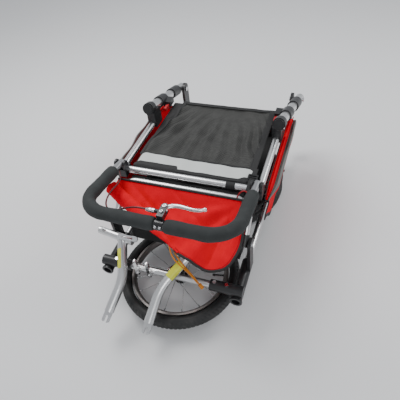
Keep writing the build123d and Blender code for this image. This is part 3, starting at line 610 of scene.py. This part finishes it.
COVER_FRONT = spline(m([(-231, -186, 0), (-180, -211, 0), (-110, -243, 0), (-40, -275, 0), (10, -296, 0),
                        (50, -315, 0), (90, -328, 0), (135, -335, 0), (170, -331, 0), (192, -313, 0),
                        (203, -285, 0)]), 220)
COVER_RIGHT = spline(m([(203, -285, 0), (208, -250, 0), (205, -205, 0), (196, -168, 0),
                        (188, -147, 0)]), 90)


# Start and end of each crease in plan, and its depth
CREASES = ((0.150, -0.215, 0.128, -0.318, 0.0040), (0.160, -0.180, 0.178, -0.300, 0.0034),
           (-0.150, -0.160, 0.030, -0.262, 0.0050), (-0.02, -0.150, 0.110, -0.238, 0.0036))


def cover_height(x, y):
    """The sheet falls from the hoop to its front edge. Soft waves, a trough along the bar, folds
    that fan out from the right end of the hoop and two stitched creases lie on the slope."""
    back = (-0.146 - y) / 0.186
    z = 0.331 + (y + 0.146) * 0.505 - 0.010 * np.sin(math.pi * np.clip(back, 0, 1))
    free = ramp(back, 0.0, 0.35)
    z = z + 0.0042 * free * field(x, y, 0.11, 3) + 0.0014 * free * field(x, y, 0.035, 8)
    away = np.hypot(x - 0.195, y + 0.140)
    angle = np.arctan2(-(y + 0.140), 0.195 - x)
    fan = np.sin(13 * angle + 1.5 * np.sin(9 * away))
    fan = fan * ramp(away, 0.02, 0.10) * (1 - ramp(away, 0.20, 0.36))
    z = z + 0.0056 * fan * free
    for x0, y0, x1, y1, deep in CREASES:
        dx, dy = x1 - x0, y1 - y0
        long = math.hypot(dx, dy)
        t = ((x - x0) * dx + (y - y0) * dy) / long**2
        off = ((x - x0) * dy - (y - y0) * dx) / long
        z = z - deep * np.exp(-((off / 0.007) ** 2)) * ramp(t, -0.1, 0.2) * (1 - ramp(t, 0.85, 1.1))
    droop = ramp(back, 0.80, 1.0)
    return z - 0.006 * droop


def cover_grid(nu=260, nv=170):
    """A patch between four edges: the hoop behind, the free front edge and both sides."""
    front = even(COVER_FRONT, nu)[:, :2]
    rear = np.stack([np.linspace(-0.214, 0.188, nu), np.full(nu, -0.1465)], 1)
    left = np.linspace(rear[0], front[0], nv)
    right = even(COVER_RIGHT[::-1], nv)[:, :2]
    u = np.linspace(0, 1, nu)[:, None, None]
    v = np.linspace(0, 1, nv)[None, :, None]
    ruled = rear[:, None] * (1 - v) + front[:, None] * v
    sides = left[None] * (1 - u) + right[None] * u
    corners = (rear[0] * (1 - u) + rear[-1] * u) * (1 - v) + (front[0] * (1 - u) + front[-1] * u) * v
    plan = ruled + sides - corners
    return np.dstack([plan, cover_height(plan[..., 0], plan[..., 1])])


cover = cover_grid()
red_cover = cloth("red_cover", cover, 0.0012, "red_fabric")
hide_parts("front_cover")
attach(red_cover, "chassis")


def lifted(line, up):
    """A line in plan laid on the cover, raised by up."""
    z = cover_height(line[:, 0], line[:, 1]) + up
    return np.stack([line[:, 0], line[:, 1], z], 1)


def roll():
    """The cover's left front edge is rolled up on itself. The section is a spiral whose radius
    shrinks along the edge, so that the roll tapers into the free edge."""
    count = 200
    edge = even(COVER_FRONT[:132], count)
    base = lifted(edge, 0.0)
    share = np.linspace(0, 1, count)
    radius = 0.0190 * (1 - ramp(share, 0.45, 1.0)) + 0.0030 + 0.0015 * (1 - share)
    tangent = unit(np.gradient(base, axis=0))
    uphill = np.array([0, 0.45, 0.89])
    slope = unit(uphill[None] - tangent * (tangent @ uphill)[:, None])
    outward = np.cross(slope, tangent)
    outward = outward * np.sign(-outward[:, 1])[:, None]
    turn = np.linspace(-0.35, 4.1 * math.pi, 130)
    wind = radius[:, None] * (1 - 0.045 * np.maximum(turn, 0)[None])
    s = np.broadcast_to(share[:, None], wind.shape)
    wind = wind * (1 + 0.05 * field(s * 0.25, turn[None] * 0.012, 0.06, 12))
    centre = base + slope * radius[:, None]
    grid = centre[:, None] + outward[:, None] * (np.sin(turn)[None] * wind)[..., None]
    grid = grid - slope[:, None] * (np.cos(turn)[None] * wind)[..., None]
    return grid


rolled = roll()
cover_roll = cloth("red_cover_roll", rolled, 0.0010, "red_fabric")
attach(cover_roll, "chassis")

free_edge = np.vstack([COVER_FRONT[124:], COVER_RIGHT[1:]])
binding = rope("cover_binding", lifted(even(free_edge, 260), 0.0004), 0.0040, "black_fabric")
rear_edge = even(np.stack([cover[:, 0, 0], cover[:, 0, 1] + 0.0005], 1), 220)
rear_binding = rope("cover_rear_binding", lifted(rear_edge, 0.001), 0.0036, "black_fabric")


def stitches(name, line, up, gap, slot, thick=0.00045):
    """A row of raised stitches: each a short bowed thread that dips into the cloth at its ends."""
    count = max(2, int(np.linalg.norm(np.diff(line, axis=0), axis=1).sum() / gap))
    at = even(line, count * 6 + 1)
    made_points, made_quads, made_uv = [], [], []
    for i in range(count):
        part = at[i * 6 : i * 6 + 5]
        part = part + up * np.array([-0.3, 1.0, 1.3, 1.0, -0.3])[:, None] * thick
        _, a, b = frames(part)
        turn = np.linspace(0, 2 * math.pi, 6, endpoint=False)
        ring = np.cos(turn)[:, None] * a[:, None] + np.sin(turn)[:, None] * b[:, None]
        made_points.append((part[:, None] + ring * thick).reshape(-1, 3))
        made_quads.append(grid_quads(5, 6, wrap_v=True) + i * 30)
        made_uv.append(np.tile([[0.0, 0.0]], (30, 1)))
    return build(name, np.concatenate(made_points), np.concatenate(made_quads), np.concatenate(made_uv),
                 slot)


UP = np.array([0.0, -0.45, 0.89])
inset = even(free_edge, 260)
middle = np.array([0.05, -0.23])
inset = inset[:, :2] + unit(middle - inset[:, :2]) * 0.0065
seams = [stitches("cover_edge_stitches", lifted(inset, 0.0008), UP, 0.0042, "black_fabric")]
for side, pair in (("right", ((0.150, -0.215), (0.128, -0.318))),
                   ("rear", ((-0.02, -0.152), (0.110, -0.238)))):
    seam = np.linspace(*np.array(pair), 80)
    seams.append(stitches(f"cover_seam_{side}", lifted(seam, 0.0006), UP, 0.0042, "red_fabric"))
for piece in (binding, rear_binding, *seams):
    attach(piece, "chassis")
declare_sheet(cover)
declare_sheet(rolled)


# Mesh pocket and its trims --------------------------------------------------------------------


def mesh_height(x, y):
    """Nearly flat at its hems. Between them folds spread from the middle of the rear hem to the
    front, others slant from the left front corner, and the whole sags a little."""
    across, back = x / 0.197, (y + 0.072) / 0.379
    inside = (1 - ramp(np.abs(across), 0.86, 0.99)) * ramp(back, 0.13, 0.24)
    inside = inside * (1 - ramp(back, 0.95, 1.0))
    dx, dy = x - 0.030, 0.470 - y
    away, angle = np.hypot(dx, dy), np.arctan2(dx, dy)
    fan = np.sin(52 * angle + 1.6 * np.sin(11 * away + 4 * angle) + 1.3 * field(x, y, 0.16, 21))
    fan = np.sign(fan) * np.abs(fan) ** 1.3 * ramp(away, 0.20, 0.36)
    slant = np.sin(2 * math.pi * (x * 0.70 - y * 0.30) / 0.050 + 1.6 * field(x, y, 0.14, 4))
    slant = slant * np.exp(-(((x + 0.11) / 0.09) ** 2 + ((y - 0.17) / 0.11) ** 2))
    z = 0.332 + inside * (0.0056 * fan + 0.0048 * slant + 0.0026 * field(x, y, 0.06, 17))
    return z - 0.007 * inside * (1 - across**2)


def mesh_line(points, up, count=260):
    line = even(m([(*p, 0) for p in points]), count)
    line[:, 2] = mesh_height(line[:, 0], line[:, 1]) + up
    return line


def left_hem(y):
    """X of the net's left edge: it draws in towards the rear."""
    return -0.192 + 0.044 * ramp(y, 0.02, 0.34)


def hem_line(low, high, up, inward=0.0):
    y = np.linspace(low, high, 220) / 1000
    line = np.stack([left_hem(y) + inward, y, np.zeros(220)], 1)
    line[:, 2] = mesh_height(line[:, 0], y) + up
    return line


share, ys = np.meshgrid(np.linspace(0, 1, 300), np.linspace(-0.072, 0.306, 280), indexing="ij")
gx, gy = left_hem(ys) * (1 - share) + 0.196 * share, ys
mesh_grid = np.dstack([gx, gy, mesh_height(gx, gy)])
gx = -0.196 + 0.392 * share
mesh_cloth = cloth("mesh_pocket", mesh_grid, 0.0008, "mesh_fabric")
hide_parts("mesh_panel")
lining_grid = np.dstack([gx, gy, np.minimum(mesh_height(gx, gy) - 0.003, 0.3265)])[::4, ::4]
lining = cloth("mesh_lining", lining_grid, 0.0010, "black_fabric")

ALONG_X, ALONG_Y = (1, 0, 0), (0, 1, 0)
hems = [
    ribbon(f"mesh_hem_{tag}", line, across, width, thick, "black_fabric")
    for tag, line, across, width, thick in (
        ("rear", mesh_line([(-160, 301), (196, 301)], 0.0009), ALONG_Y, 0.015, 0.0016),
        ("front", mesh_line([(-194, -10), (196, -13)], 0.0012), ALONG_Y, 0.011, 0.0018),
        ("left", hem_line(-20, 305, 0.0010), ALONG_X, 0.011, 0.0016),
        ("right", mesh_line([(186, -70), (186, 306)], 0.0010), ALONG_X, 0.022, 0.0016),
    )
]
for tag, line in (("rear", mesh_line([(-148, 296), (176, 296)], 0.0022)),
                  ("front", mesh_line([(-186, -12), (176, -12)], 0.0022)),
                  ("left", hem_line(-4, 294, 0.0022, 0.0045)),
                  ("right", mesh_line([(176, -4), (176, 294)], 0.0022))):
    hems.append(stitches(f"mesh_stitches_{tag}", line, np.array([0, 0, 1.0]), 0.0045, "seat_fabric"))


def strip_sheet():
    """The pale band on the front of the pocket. Its ends are rounded, its lower edge waves, and a
    black flap lies over part of it."""
    x = np.linspace(-0.187, 0.191, 260)
    end = np.minimum(x + 0.187, 0.191 - x)
    cut = 0.016 - np.sqrt(np.maximum(0.016**2 - (0.016 - np.minimum(end, 0.016)) ** 2, 0))
    low = -0.0708 + cut + 0.0018 * np.sin(x * 60) * ramp(x, -0.02, 0.05)
    high = -0.0190 + 0.0070 * (1 - ramp(x, -0.187, 0.05)) - cut
    v = np.linspace(0, 1, 50)
    y = low[:, None] * (1 - v) + high[:, None] * v
    gx = np.broadcast_to(x[:, None], y.shape)
    z = 0.3352 + 0.0014 * field(gx, y * 0.6, 0.09, 9) + 0.0009 * np.sin(gx * 95 + y * 40)
    return np.dstack([gx, y, z])


strip_grid = strip_sheet()
strip = cloth("pale_strip", strip_grid, 0.0010, "reflective_fabric")
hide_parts("reflective_strip")


def flap_sheet():
    """The black flap under the strip's lower edge: wide at the left, it narrows in one step."""
    x = np.linspace(-0.192, 0.192, 260)
    high = -0.0700 + 0.014 * (1 - ramp(x, -0.050, -0.042)) * ramp(x, -0.192, -0.176)
    high = high + 0.012 * ramp(x, 0.150, 0.172)
    v = np.linspace(0, 1, 26)
    y = -0.0845 * (1 - v) + high[:, None] * v
    gx = np.broadcast_to(x[:, None], y.shape)
    z = 0.3378 - 0.006 * (1 - ramp(v, 0.0, 0.35))[None] + 0.0008 * field(gx, y, 0.07, 31)
    return np.dstack([gx, y, z])


flap_grid = flap_sheet()
flap = cloth("black_flap", flap_grid, 0.0012, "black_fabric")
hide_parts("edge_strap")
buckle_tape = ribbon("buckle_tape", spline(m([(196, -118, 343), (196, -100, 344), (196, -84, 345.5),
                     (196, -62, 341.5), (196, -40, 337), (195, -10, 334)]), 90), (1, 0, 0), 0.0155, 0.0012,
                     "black_fabric")
flap_seam = np.linspace(*m([(-186, -74, 338.6), (170, -74, 338.6)]), 200)
flap_stitches = stitches("flap_stitches", flap_seam, np.array([0, 0, 1.0]), 0.0045, "seat_fabric")
for piece in (mesh_cloth, lining, strip, flap, buckle_tape, flap_stitches, *hems):
    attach(piece, "back_frame")
declare_sheet(mesh_grid)
declare_sheet(lining_grid)
declare_sheet(strip_grid)
declare_sheet(flap_grid)


# Roof, sides and cabin ------------------------------------------------------------------------


def roof():
    """A hood gathered between the hoop and the back frame. Its section goes down and up in close
    pleats as it passes from one to the other."""
    passes, per = 14, 9
    v = np.linspace(0, 1, passes * per + 1)
    x = np.linspace(-0.184, 0.184, 120)
    gx, gv = np.meshgrid(x, v, indexing="ij")
    swing = np.arccos(np.cos(gv * math.pi * passes)) / math.pi
    deep = 0.031 * (0.86 + 0.14 * np.sin(gx * 40 + 2.0 * np.floor(gv * passes)))
    z = 0.3205 - deep * swing - 0.0028 * ramp(np.abs(field(gx, gv * 0.02, 0.07, 15)), 0.0, 1.2)
    y = -0.1182 + 0.0106 * gv + 0.0001 * np.sin(gx * 55)
    return np.dstack([gx, y, z])


roof_grid = roof()
hood = cloth("folded_hood", roof_grid, 0.00045, "black_fabric")
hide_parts("roof_panel")
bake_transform(hood)
declare_sheet(roof_grid)


def side_section(side, y, v):
    """Point of the side fabric at v of its height: straight from the tub up to its middle, then
    folded out and back in, and over the back frame's tube at the top."""
    path = m([(243, 0, 129), (245, 0, 150), (247, 0, 178), (252, 0, 206), (256, 0, 232), (261, 0, 254),
              (267, 0, 274), (271, 0, 292), (270, 0, 304), (266, 0, 306), (263, 0, 298), (259, 0, 293),
              (255, 0, 298), (252, 0, 306), (248, 0, 309), (245, 0, 304), (242, 0, 304), (240, 0, 310),
              (238, 0, 313)])
    line = spline(path, len(v))
    drop = ramp(y, 0.285, 0.430)
    tuck = 1 - ramp(y, -0.094, -0.030)
    line[:, 0] = line[:, 0] * (1 - 0.75 * tuck) + 0.243 * 0.75 * tuck
    line[:, 2] = 0.129 + (line[:, 2] - 0.129) * (1 - 0.10 * tuck)
    top = line[-1, 2] * (1 - drop) + 0.236 * drop
    x = line[:, 0] * (1 - drop) + (0.243 + 0.002 * np.sin(v * 9)) * drop
    low = 0.129 + 0.075 * (1 - ramp(y, -0.094, 0.010)) + 0.030 * ramp(y, 0.400, 0.428)
    z = low + (line[:, 2] - 0.129) / (line[-1, 2] - 0.129) * (top - low)
    wave = 0.0035 * field(np.full_like(v, y), z * 0.5, 0.10, 40 + side) * np.sin(math.pi * v)
    return np.stack([side * (x + wave), np.full_like(v, y), z + wave * 0.5], 1)


def side_panel(side):
    v = np.linspace(0, 1, 130)
    y = np.linspace(-0.094, 0.428, 240)
    return np.stack([side_section(side, t, v) for t in y])


for side, word in ((-1, "left"), (1, "right")):
    panel_grid = side_panel(side)
    panel = cloth(f"side_cloth_{word}", panel_grid, 0.0010, "red_fabric")
    panel.data.materials.append(PALE_GREY)
    panel.data.materials.append(MATERIALS["black_fabric"])
    nu, nv = panel_grid.shape[:2]
    column = np.tile(np.arange(nv - 1), nu - 1)
    share = column / nv
    grey_band = (share > 0.715) & (share < 0.845)
    black_band = (share > 0.955) | (share < 0.08)
    kind = np.where(grey_band, 1, 0) + np.where(black_band, 2, 0)
    index = np.zeros(len(panel.data.polygons), np.int32)
    index[: 2 * len(kind)] = np.tile(kind, 2)
    panel.data.polygons.foreach_set("material_index", index)
    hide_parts(f"side_panel_{word}")
    edge = np.vstack([panel_grid[::-1, 0], panel_grid[0, 1:]])
    binding = rope(f"side_binding_{word}", even(edge, 400), 0.0020, "black_fabric", 12)
    for piece in (panel, binding):
        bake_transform(piece)
    declare_sheet(panel_grid)


def tub():
    """The cabin's black walls as one upright band with rounded corners, soft dents and a bound
    upper edge that sags between its ends."""
    half_x, front_y, rear_y = 0.194, -0.214, 0.419
    corners = [(0, front_y, 0), (half_x, front_y, 0), (half_x, rear_y, 0), (-half_x, rear_y, 0),
               (-half_x, front_y, 0), (0.0001, front_y, 0)]
    loop = rounded(corners, 0.035, 420)[:-1]
    v = np.linspace(0, 1, 50)
    out = unit(np.cross(np.gradient(loop, axis=0), [0, 0, 1.0]))
    far = np.linspace(0, 1.95, len(loop))
    f, t = np.meshgrid(far, v, indexing="ij")
    dent = -0.004 * np.abs(field(f, t * 0.084, 0.12, 51)) * np.sin(math.pi * t) - 0.001
    z = 0.1315 + 0.083 * t - 0.004 * t * (1 + np.sin(f * 9)) / 2
    grid = loop[:, None] + out[:, None] * dent[..., None]
    grid[..., 2] = z
    return np.concatenate([grid, grid[:1]])


tub_grid = tub()
walls = cloth("cabin_walls", tub_grid, 0.0011, "black_fabric")
fx, fy = np.meshgrid(np.linspace(-0.192, 0.192, 120), np.linspace(-0.212, 0.417, 160), indexing="ij")
floor_z = 0.1330 + 0.0010 * field(fx, fy, 0.09, 60)
floor_grid = np.dstack([fx, fy, floor_z])
floor_sheet = cloth("cabin_floor", floor_grid, 0.0011, "black_fabric")
edge_tape = rope("cabin_edge_tape", tub_grid[:, -1], 0.0024, "black_fabric", 12, ends=False)
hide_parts("cabin_tub")
for piece in (walls, floor_sheet, edge_tape):
    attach(piece, "chassis")
declare_sheet(tub_grid)
declare_sheet(floor_grid)


def pad(name, node, z_low, thick, front_y):
    """A quilted pad with rounded plan: full between its seams, drawn in along them, and creased
    near the edge."""
    half_x, long = 0.165, 0.360
    u, v = np.meshgrid(np.linspace(-1, 1, 170), np.linspace(-1, 1, 190), indexing="ij")
    power = 9.0
    reach = (np.abs(u) ** power + np.abs(v) ** power) ** (1 / power)
    pull = np.maximum(np.abs(u), np.abs(v)) / np.maximum(reach, 1e-6)
    x, y = u * half_x * pull, v * long / 2 * pull
    edge = np.clip(1 - np.maximum(np.abs(u), np.abs(v)), 0, 1)
    full = (1 - (1 - np.clip(edge / 0.16, 0, 1)) ** 2.4) ** (1 / 2.4)
    seam = np.exp(-((np.abs(x) - 0.062) / 0.005) ** 2) + np.exp(-(y / 0.006) ** 2)
    crease = 0.0012 * field(x, y, 0.05, 70)
    crease = crease + 0.0008 * np.sin(np.arctan2(y, x) * 60) * np.exp(-edge / 0.10)
    up = (thick / 2 - 0.0008) * full * (1 - 0.45 * np.clip(seam, 0, 1)) + crease * full * 0.6
    low = (thick / 2 - 0.0006) * full
    middle = z_low + thick / 2
    top = np.dstack([x, y + front_y + long / 2, middle + np.minimum(up, thick / 2 - 0.0004)])
    bottom = np.dstack([x, y + front_y + long / 2, middle - low])[:, ::-1]
    points = np.concatenate([top.reshape(-1, 3), bottom.reshape(-1, 3)])
    cover_u, cover_v = arcs(top)
    flat_uv = np.tile(np.stack([cover_u, cover_v], -1).reshape(-1, 2), (2, 1))
    quads = grid_quads(*u.shape)
    index = np.arange(u.size).reshape(u.shape)
    lower = index[:, ::-1] + u.size
    rim = border(index)
    rim_low = border(lower)
    band = np.stack([np.roll(rim, -1), rim, rim_low, np.roll(rim_low, -1)], 1)
    obj = build(name, points, np.concatenate([quads, quads + u.size, band]), flat_uv, "seat_fabric")
    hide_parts(node)
    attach(obj, "chassis")


base_box, back_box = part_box("seat_base"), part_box("seat_back")
pad("seat_pad", "seat_base", base_box[0][2], 0.022, -0.203)
pad("back_pad", "seat_back", back_box[0][2], 0.022, -0.185)


# Cords ----------------------------------------------------------------------------------------


def nurbs(name, points, diameter, slot, node, body, **facts):
    """A cord as one NURBS curve through the same points as its CAD node, in metres."""
    data = bpy.data.curves.new(name, "CURVE")
    data.dimensions = "3D"
    data.bevel_depth = diameter / 2
    data.bevel_resolution = 4
    data.resolution_u = 12
    data.use_fill_caps = True
    line = data.splines.new("NURBS")
    line.points.add(len(points) - 1)
    for at, p in zip(line.points, points):
        at.co = (*p, 1)
    line.order_u = 3
    line.use_endpoint_u = True
    data.materials.append(MATERIALS[slot])
    obj = bpy.data.objects.new(name, data)
    bpy.context.scene.collection.objects.link(obj)
    if node:
        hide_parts(node)
    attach(obj, body)
    return obj


CABLE = [(-0.006, -0.316, 0.420), (-0.042, -0.315, 0.422), (-0.078, -0.316, 0.413), (-0.112, -0.317, 0.394),
         (-0.146, -0.312, 0.378), (-0.172, -0.290, 0.371), (-0.185, -0.256, 0.367), (-0.188, -0.218, 0.361),
         (-0.187, -0.182, 0.354), (-0.196, -0.155, 0.352), (-0.209, -0.136, 0.357)]
PULL = [(0.012, -0.292, 0.246), (0.022, -0.303, 0.236), (0.040, -0.318, 0.224), (0.062, -0.330, 0.209),
        (0.086, -0.338, 0.186), (0.107, -0.345, 0.160)]
TIE = [(0.168, -0.137, 0.3275), (0.173, -0.133, 0.344), (0.187, -0.128, 0.354), (0.202, -0.134, 0.351),
       (0.211, -0.147, 0.336), (0.212, -0.158, 0.316), (0.208, -0.165, 0.300)]
nurbs("brake_cable_sleeve", CABLE, 0.005, "cable_housing", "brake_cable", "handlebar",
      length=0.355, far_end="object", stiffness="stiff", lay="loose")
nurbs("pull_cord_braid", PULL, 0.0045, "orange_cord", "pull_cord", "chassis",
      length=0.150, far_end="fitting", stiffness="limp", lay="hanging", with_pieces=["pull_toggle"])
SECOND = [(0.005, -0.294, 0.248), (0.012, -0.309, 0.238), (0.030, -0.326, 0.228), (0.055, -0.335, 0.214),
          (0.080, -0.339, 0.193), (0.1030, -0.3470, 0.1660)]
nurbs("pull_cord_second", SECOND, 0.0040, "orange_cord", None, "chassis",
      length=0.146, far_end="object", stiffness="limp", lay="hanging")
nurbs("tie_loop_braid", TIE, 0.004, "red_cord", "tie_loop", "chassis",
      length=0.111, far_end="object", stiffness="limp", lay="loose")


# Labels and small fittings --------------------------------------------------------------------


def arm_label(name, side, x, yaw, body, middle_angle, spread, low, high):
    """A blank sticker bent round the upper part of a jogging arm."""
    place = Matrix.Translation((x, -0.470, 0.0935)) @ Matrix.Rotation(math.radians(yaw), 4, "Z")
    place = np.array(place @ Matrix.Rotation(math.radians(27.5), 4, "X"))
    bend = math.radians(26)
    along = np.array([side * math.sin(bend), math.cos(bend), 0.0])
    across = np.array([math.cos(bend), -side * math.sin(bend), 0.0])
    f, a = np.meshgrid(np.linspace(low, high, 40), np.radians(np.linspace(middle_angle - spread,
                       middle_angle + spread, 40)), indexing="ij")
    ring = np.cos(a)[..., None] * np.array([0, 0, 1.0]) + np.sin(a)[..., None] * across
    local = np.array([0, 0.105, 0]) + f[..., None] * along + ring * 0.0152
    grid = local @ place[:3, :3].T + place[:3, 3]
    obj = cloth(name, grid, 0.0003, "silver_tube", LABEL)
    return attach(obj, body)


arm_label("label_left", -1, -0.146, -8, "jog_arm_left", -50, 58, 0.030, 0.092)
arm_label("label_right", 1, -0.014, -4, "jog_arm_right", 8, 66, 0.040, 0.096)


def socket_head(name, at, axis, radius, high, body):
    """A cap screw: a bevelled head with a hexagonal socket, as one turned skin whose inner ring
    is drawn to six sides."""
    w = unit(np.array(axis, float))
    a = unit(np.cross(w, [0.31, 0.2, 0.93]))
    b = np.cross(w, a)
    turn = np.linspace(0, 2 * math.pi, 48, endpoint=False)
    six = math.cos(math.pi / 6) / np.cos((turn % (math.pi / 3)) - math.pi / 6)
    rings = [(0, radius, 0), (high * 0.86, radius, 0), (high, radius * 0.86, 0), (high, radius * 0.56, 1),
             (high * 0.45, radius * 0.54, 1), (high * 0.4, 0.0001, 1)]
    round_way = np.cos(turn)[:, None] * a + np.sin(turn)[:, None] * b
    grid = []
    for up, r, hexed in rings:
        reach = r * (six if hexed else np.ones(48))
        grid.append(m(at) + w * up / 1000 + round_way * reach[:, None] / 1000)
    obj = surface(name, np.array(grid), "steel_fastener", wrap_v=True)
    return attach(obj, body)


def lever_fittings():
    """Bright adjuster barrel with a knurled nut, pivot caps and clamp screws of the brake lever."""
    y, z = -316.0, 420.0
    knurl = [(0, 2.6), (0, 6.6)]
    knurl += [(0.4 + 0.5 * k, 6.9 - 0.5 * (k % 2)) for k in range(16)] + [(8.4, 2.6)]
    barrel = [(0, 2.6), (0, 5.9), (1, 6.1), (9, 6.1), (10, 5.2), (16, 4.6), (17, 3.6), (17.2, 2.6)]
    made = [turned("barrel_nut", knurl, (2.0, y, z), (-1, 0, 0), "polished_alloy", 40),
            turned("barrel_end", barrel, (-7.0, y, z), (-1, 0, 0), "polished_alloy", 40)]
    cap = [(0, 0.1), (0, 6.2), (1.6, 6.2), (2.4, 5.2), (2.4, 2.4), (1.2, 2.2), (1.2, 0.1)]
    for up, way in ((429.5, 1), (410.5, -1)):
        made.append(turned("pivot_cap", cap, (24, -301, up), (0, 0, way), "steel_fastener", 40))
    for piece in made:
        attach(piece, "handlebar")
    socket_head("clamp_screw_1", (24, -322, 429.5), (0, 0, 1), 4.6, 4.2, "handlebar")
    for x in (17.5, 30.5):
        socket_head(f"clamp_screw_{x:.0f}", (x, -357.2, 408.5), (0, -0.87, 0.5), 3.4, 3.6, "handlebar")


lever_fittings()


def hoop_label():
    """A blank sticker bent round the hoop's left arm."""
    top, foot = m((-210, -165, 283)), m((-210, -185, 263))
    way = unit(foot - top)
    a, b = np.array([1.0, 0, 0]), np.cross(way, [1.0, 0, 0])
    f, t = np.meshgrid(np.linspace(0, 1, 24), np.linspace(-1.9, 0.4, 30), indexing="ij")
    grid = top + f[..., None] * (foot - top)
    grid = grid + (np.cos(t)[..., None] * a + np.sin(t)[..., None] * b) * 0.0102
    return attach(cloth("label_hoop", grid, 0.0003, "silver_tube", LABEL), "chassis")


hoop_label()


def cross_wrap():
    """Black tape wound round the back frame's cross tube near its right end."""
    count = 220
    turn = np.linspace(0, 2 * math.pi * 5, count)
    x = np.linspace(0.126, 0.152, count)
    across = np.linspace(-0.5, 0.5, 9) * 0.0075
    reach = 0.0114 + 0.0006 * (turn % (2 * math.pi)) / (2 * math.pi)
    middle = np.stack([x, -0.095 + reach * np.cos(turn), 0.330 + reach * np.sin(turn)], -1)
    grid = middle[:, None] + across[None, :, None] * np.array([1.0, 0, 0])
    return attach(cloth("cross_tube_wrap", grid, 0.0006, "black_fabric"), "back_frame")


cross_wrap()


# Stage, light and camera ----------------------------------------------------------------------


def studio():
    x, y = np.meshgrid(np.linspace(-6, 6, 3), np.linspace(-6, 6, 3), indexing="ij")
    pale = Finish("floor", (0.82, 0.82, 0.82), 0.6).mat
    ground = surface("studio_floor", np.dstack([x, y, np.full((3, 3), -0.0005)]), "silver_tube", pale)
    world = bpy.data.worlds.new("studio")
    world.use_nodes = True
    world.node_tree.nodes["Background"].inputs["Color"].default_value = (0.92, 0.95, 1.0, 1)
    world.node_tree.nodes["Background"].inputs["Strength"].default_value = 0.62
    bpy.context.scene.world = world
    for name, at, size, power in (("key", (-1.1, 0.5, 2.2), 1.3, 40), ("rim", (1.5, 1.3, 1.7), 0.9, 16),
                                  ("front", (0.9, -1.9, 1.3), 1.1, 9)):
        light = bpy.data.lights.new(name, "AREA")
        light.shape = "DISK"
        light.size = size
        light.energy = power
        lamp = bpy.data.objects.new(name, light)
        lamp.location = at
        lamp.rotation_mode = "QUATERNION"
        lamp.rotation_quaternion = (Vector((0, 0, 0.25)) - Vector(at)).to_track_quat("-Z", "Y")
        bpy.context.scene.collection.objects.link(lamp)
    eye = bpy.data.cameras.new("camera")
    eye.lens = 35.46
    eye.sensor_width = 36
    camera = bpy.data.objects.new("camera", eye)
    right, up, back = (0.9435, 0.319, -0.0923), (-0.1706, 0.704, 0.690), (0.2849, -0.635, 0.7186)
    turn = Matrix((right, up, back)).transposed().to_4x4()
    camera.matrix_world = Matrix.Translation((0.3935, -0.900, 1.153)) @ turn
    bpy.context.scene.collection.objects.link(camera)
    bpy.context.scene.camera = camera


studio()
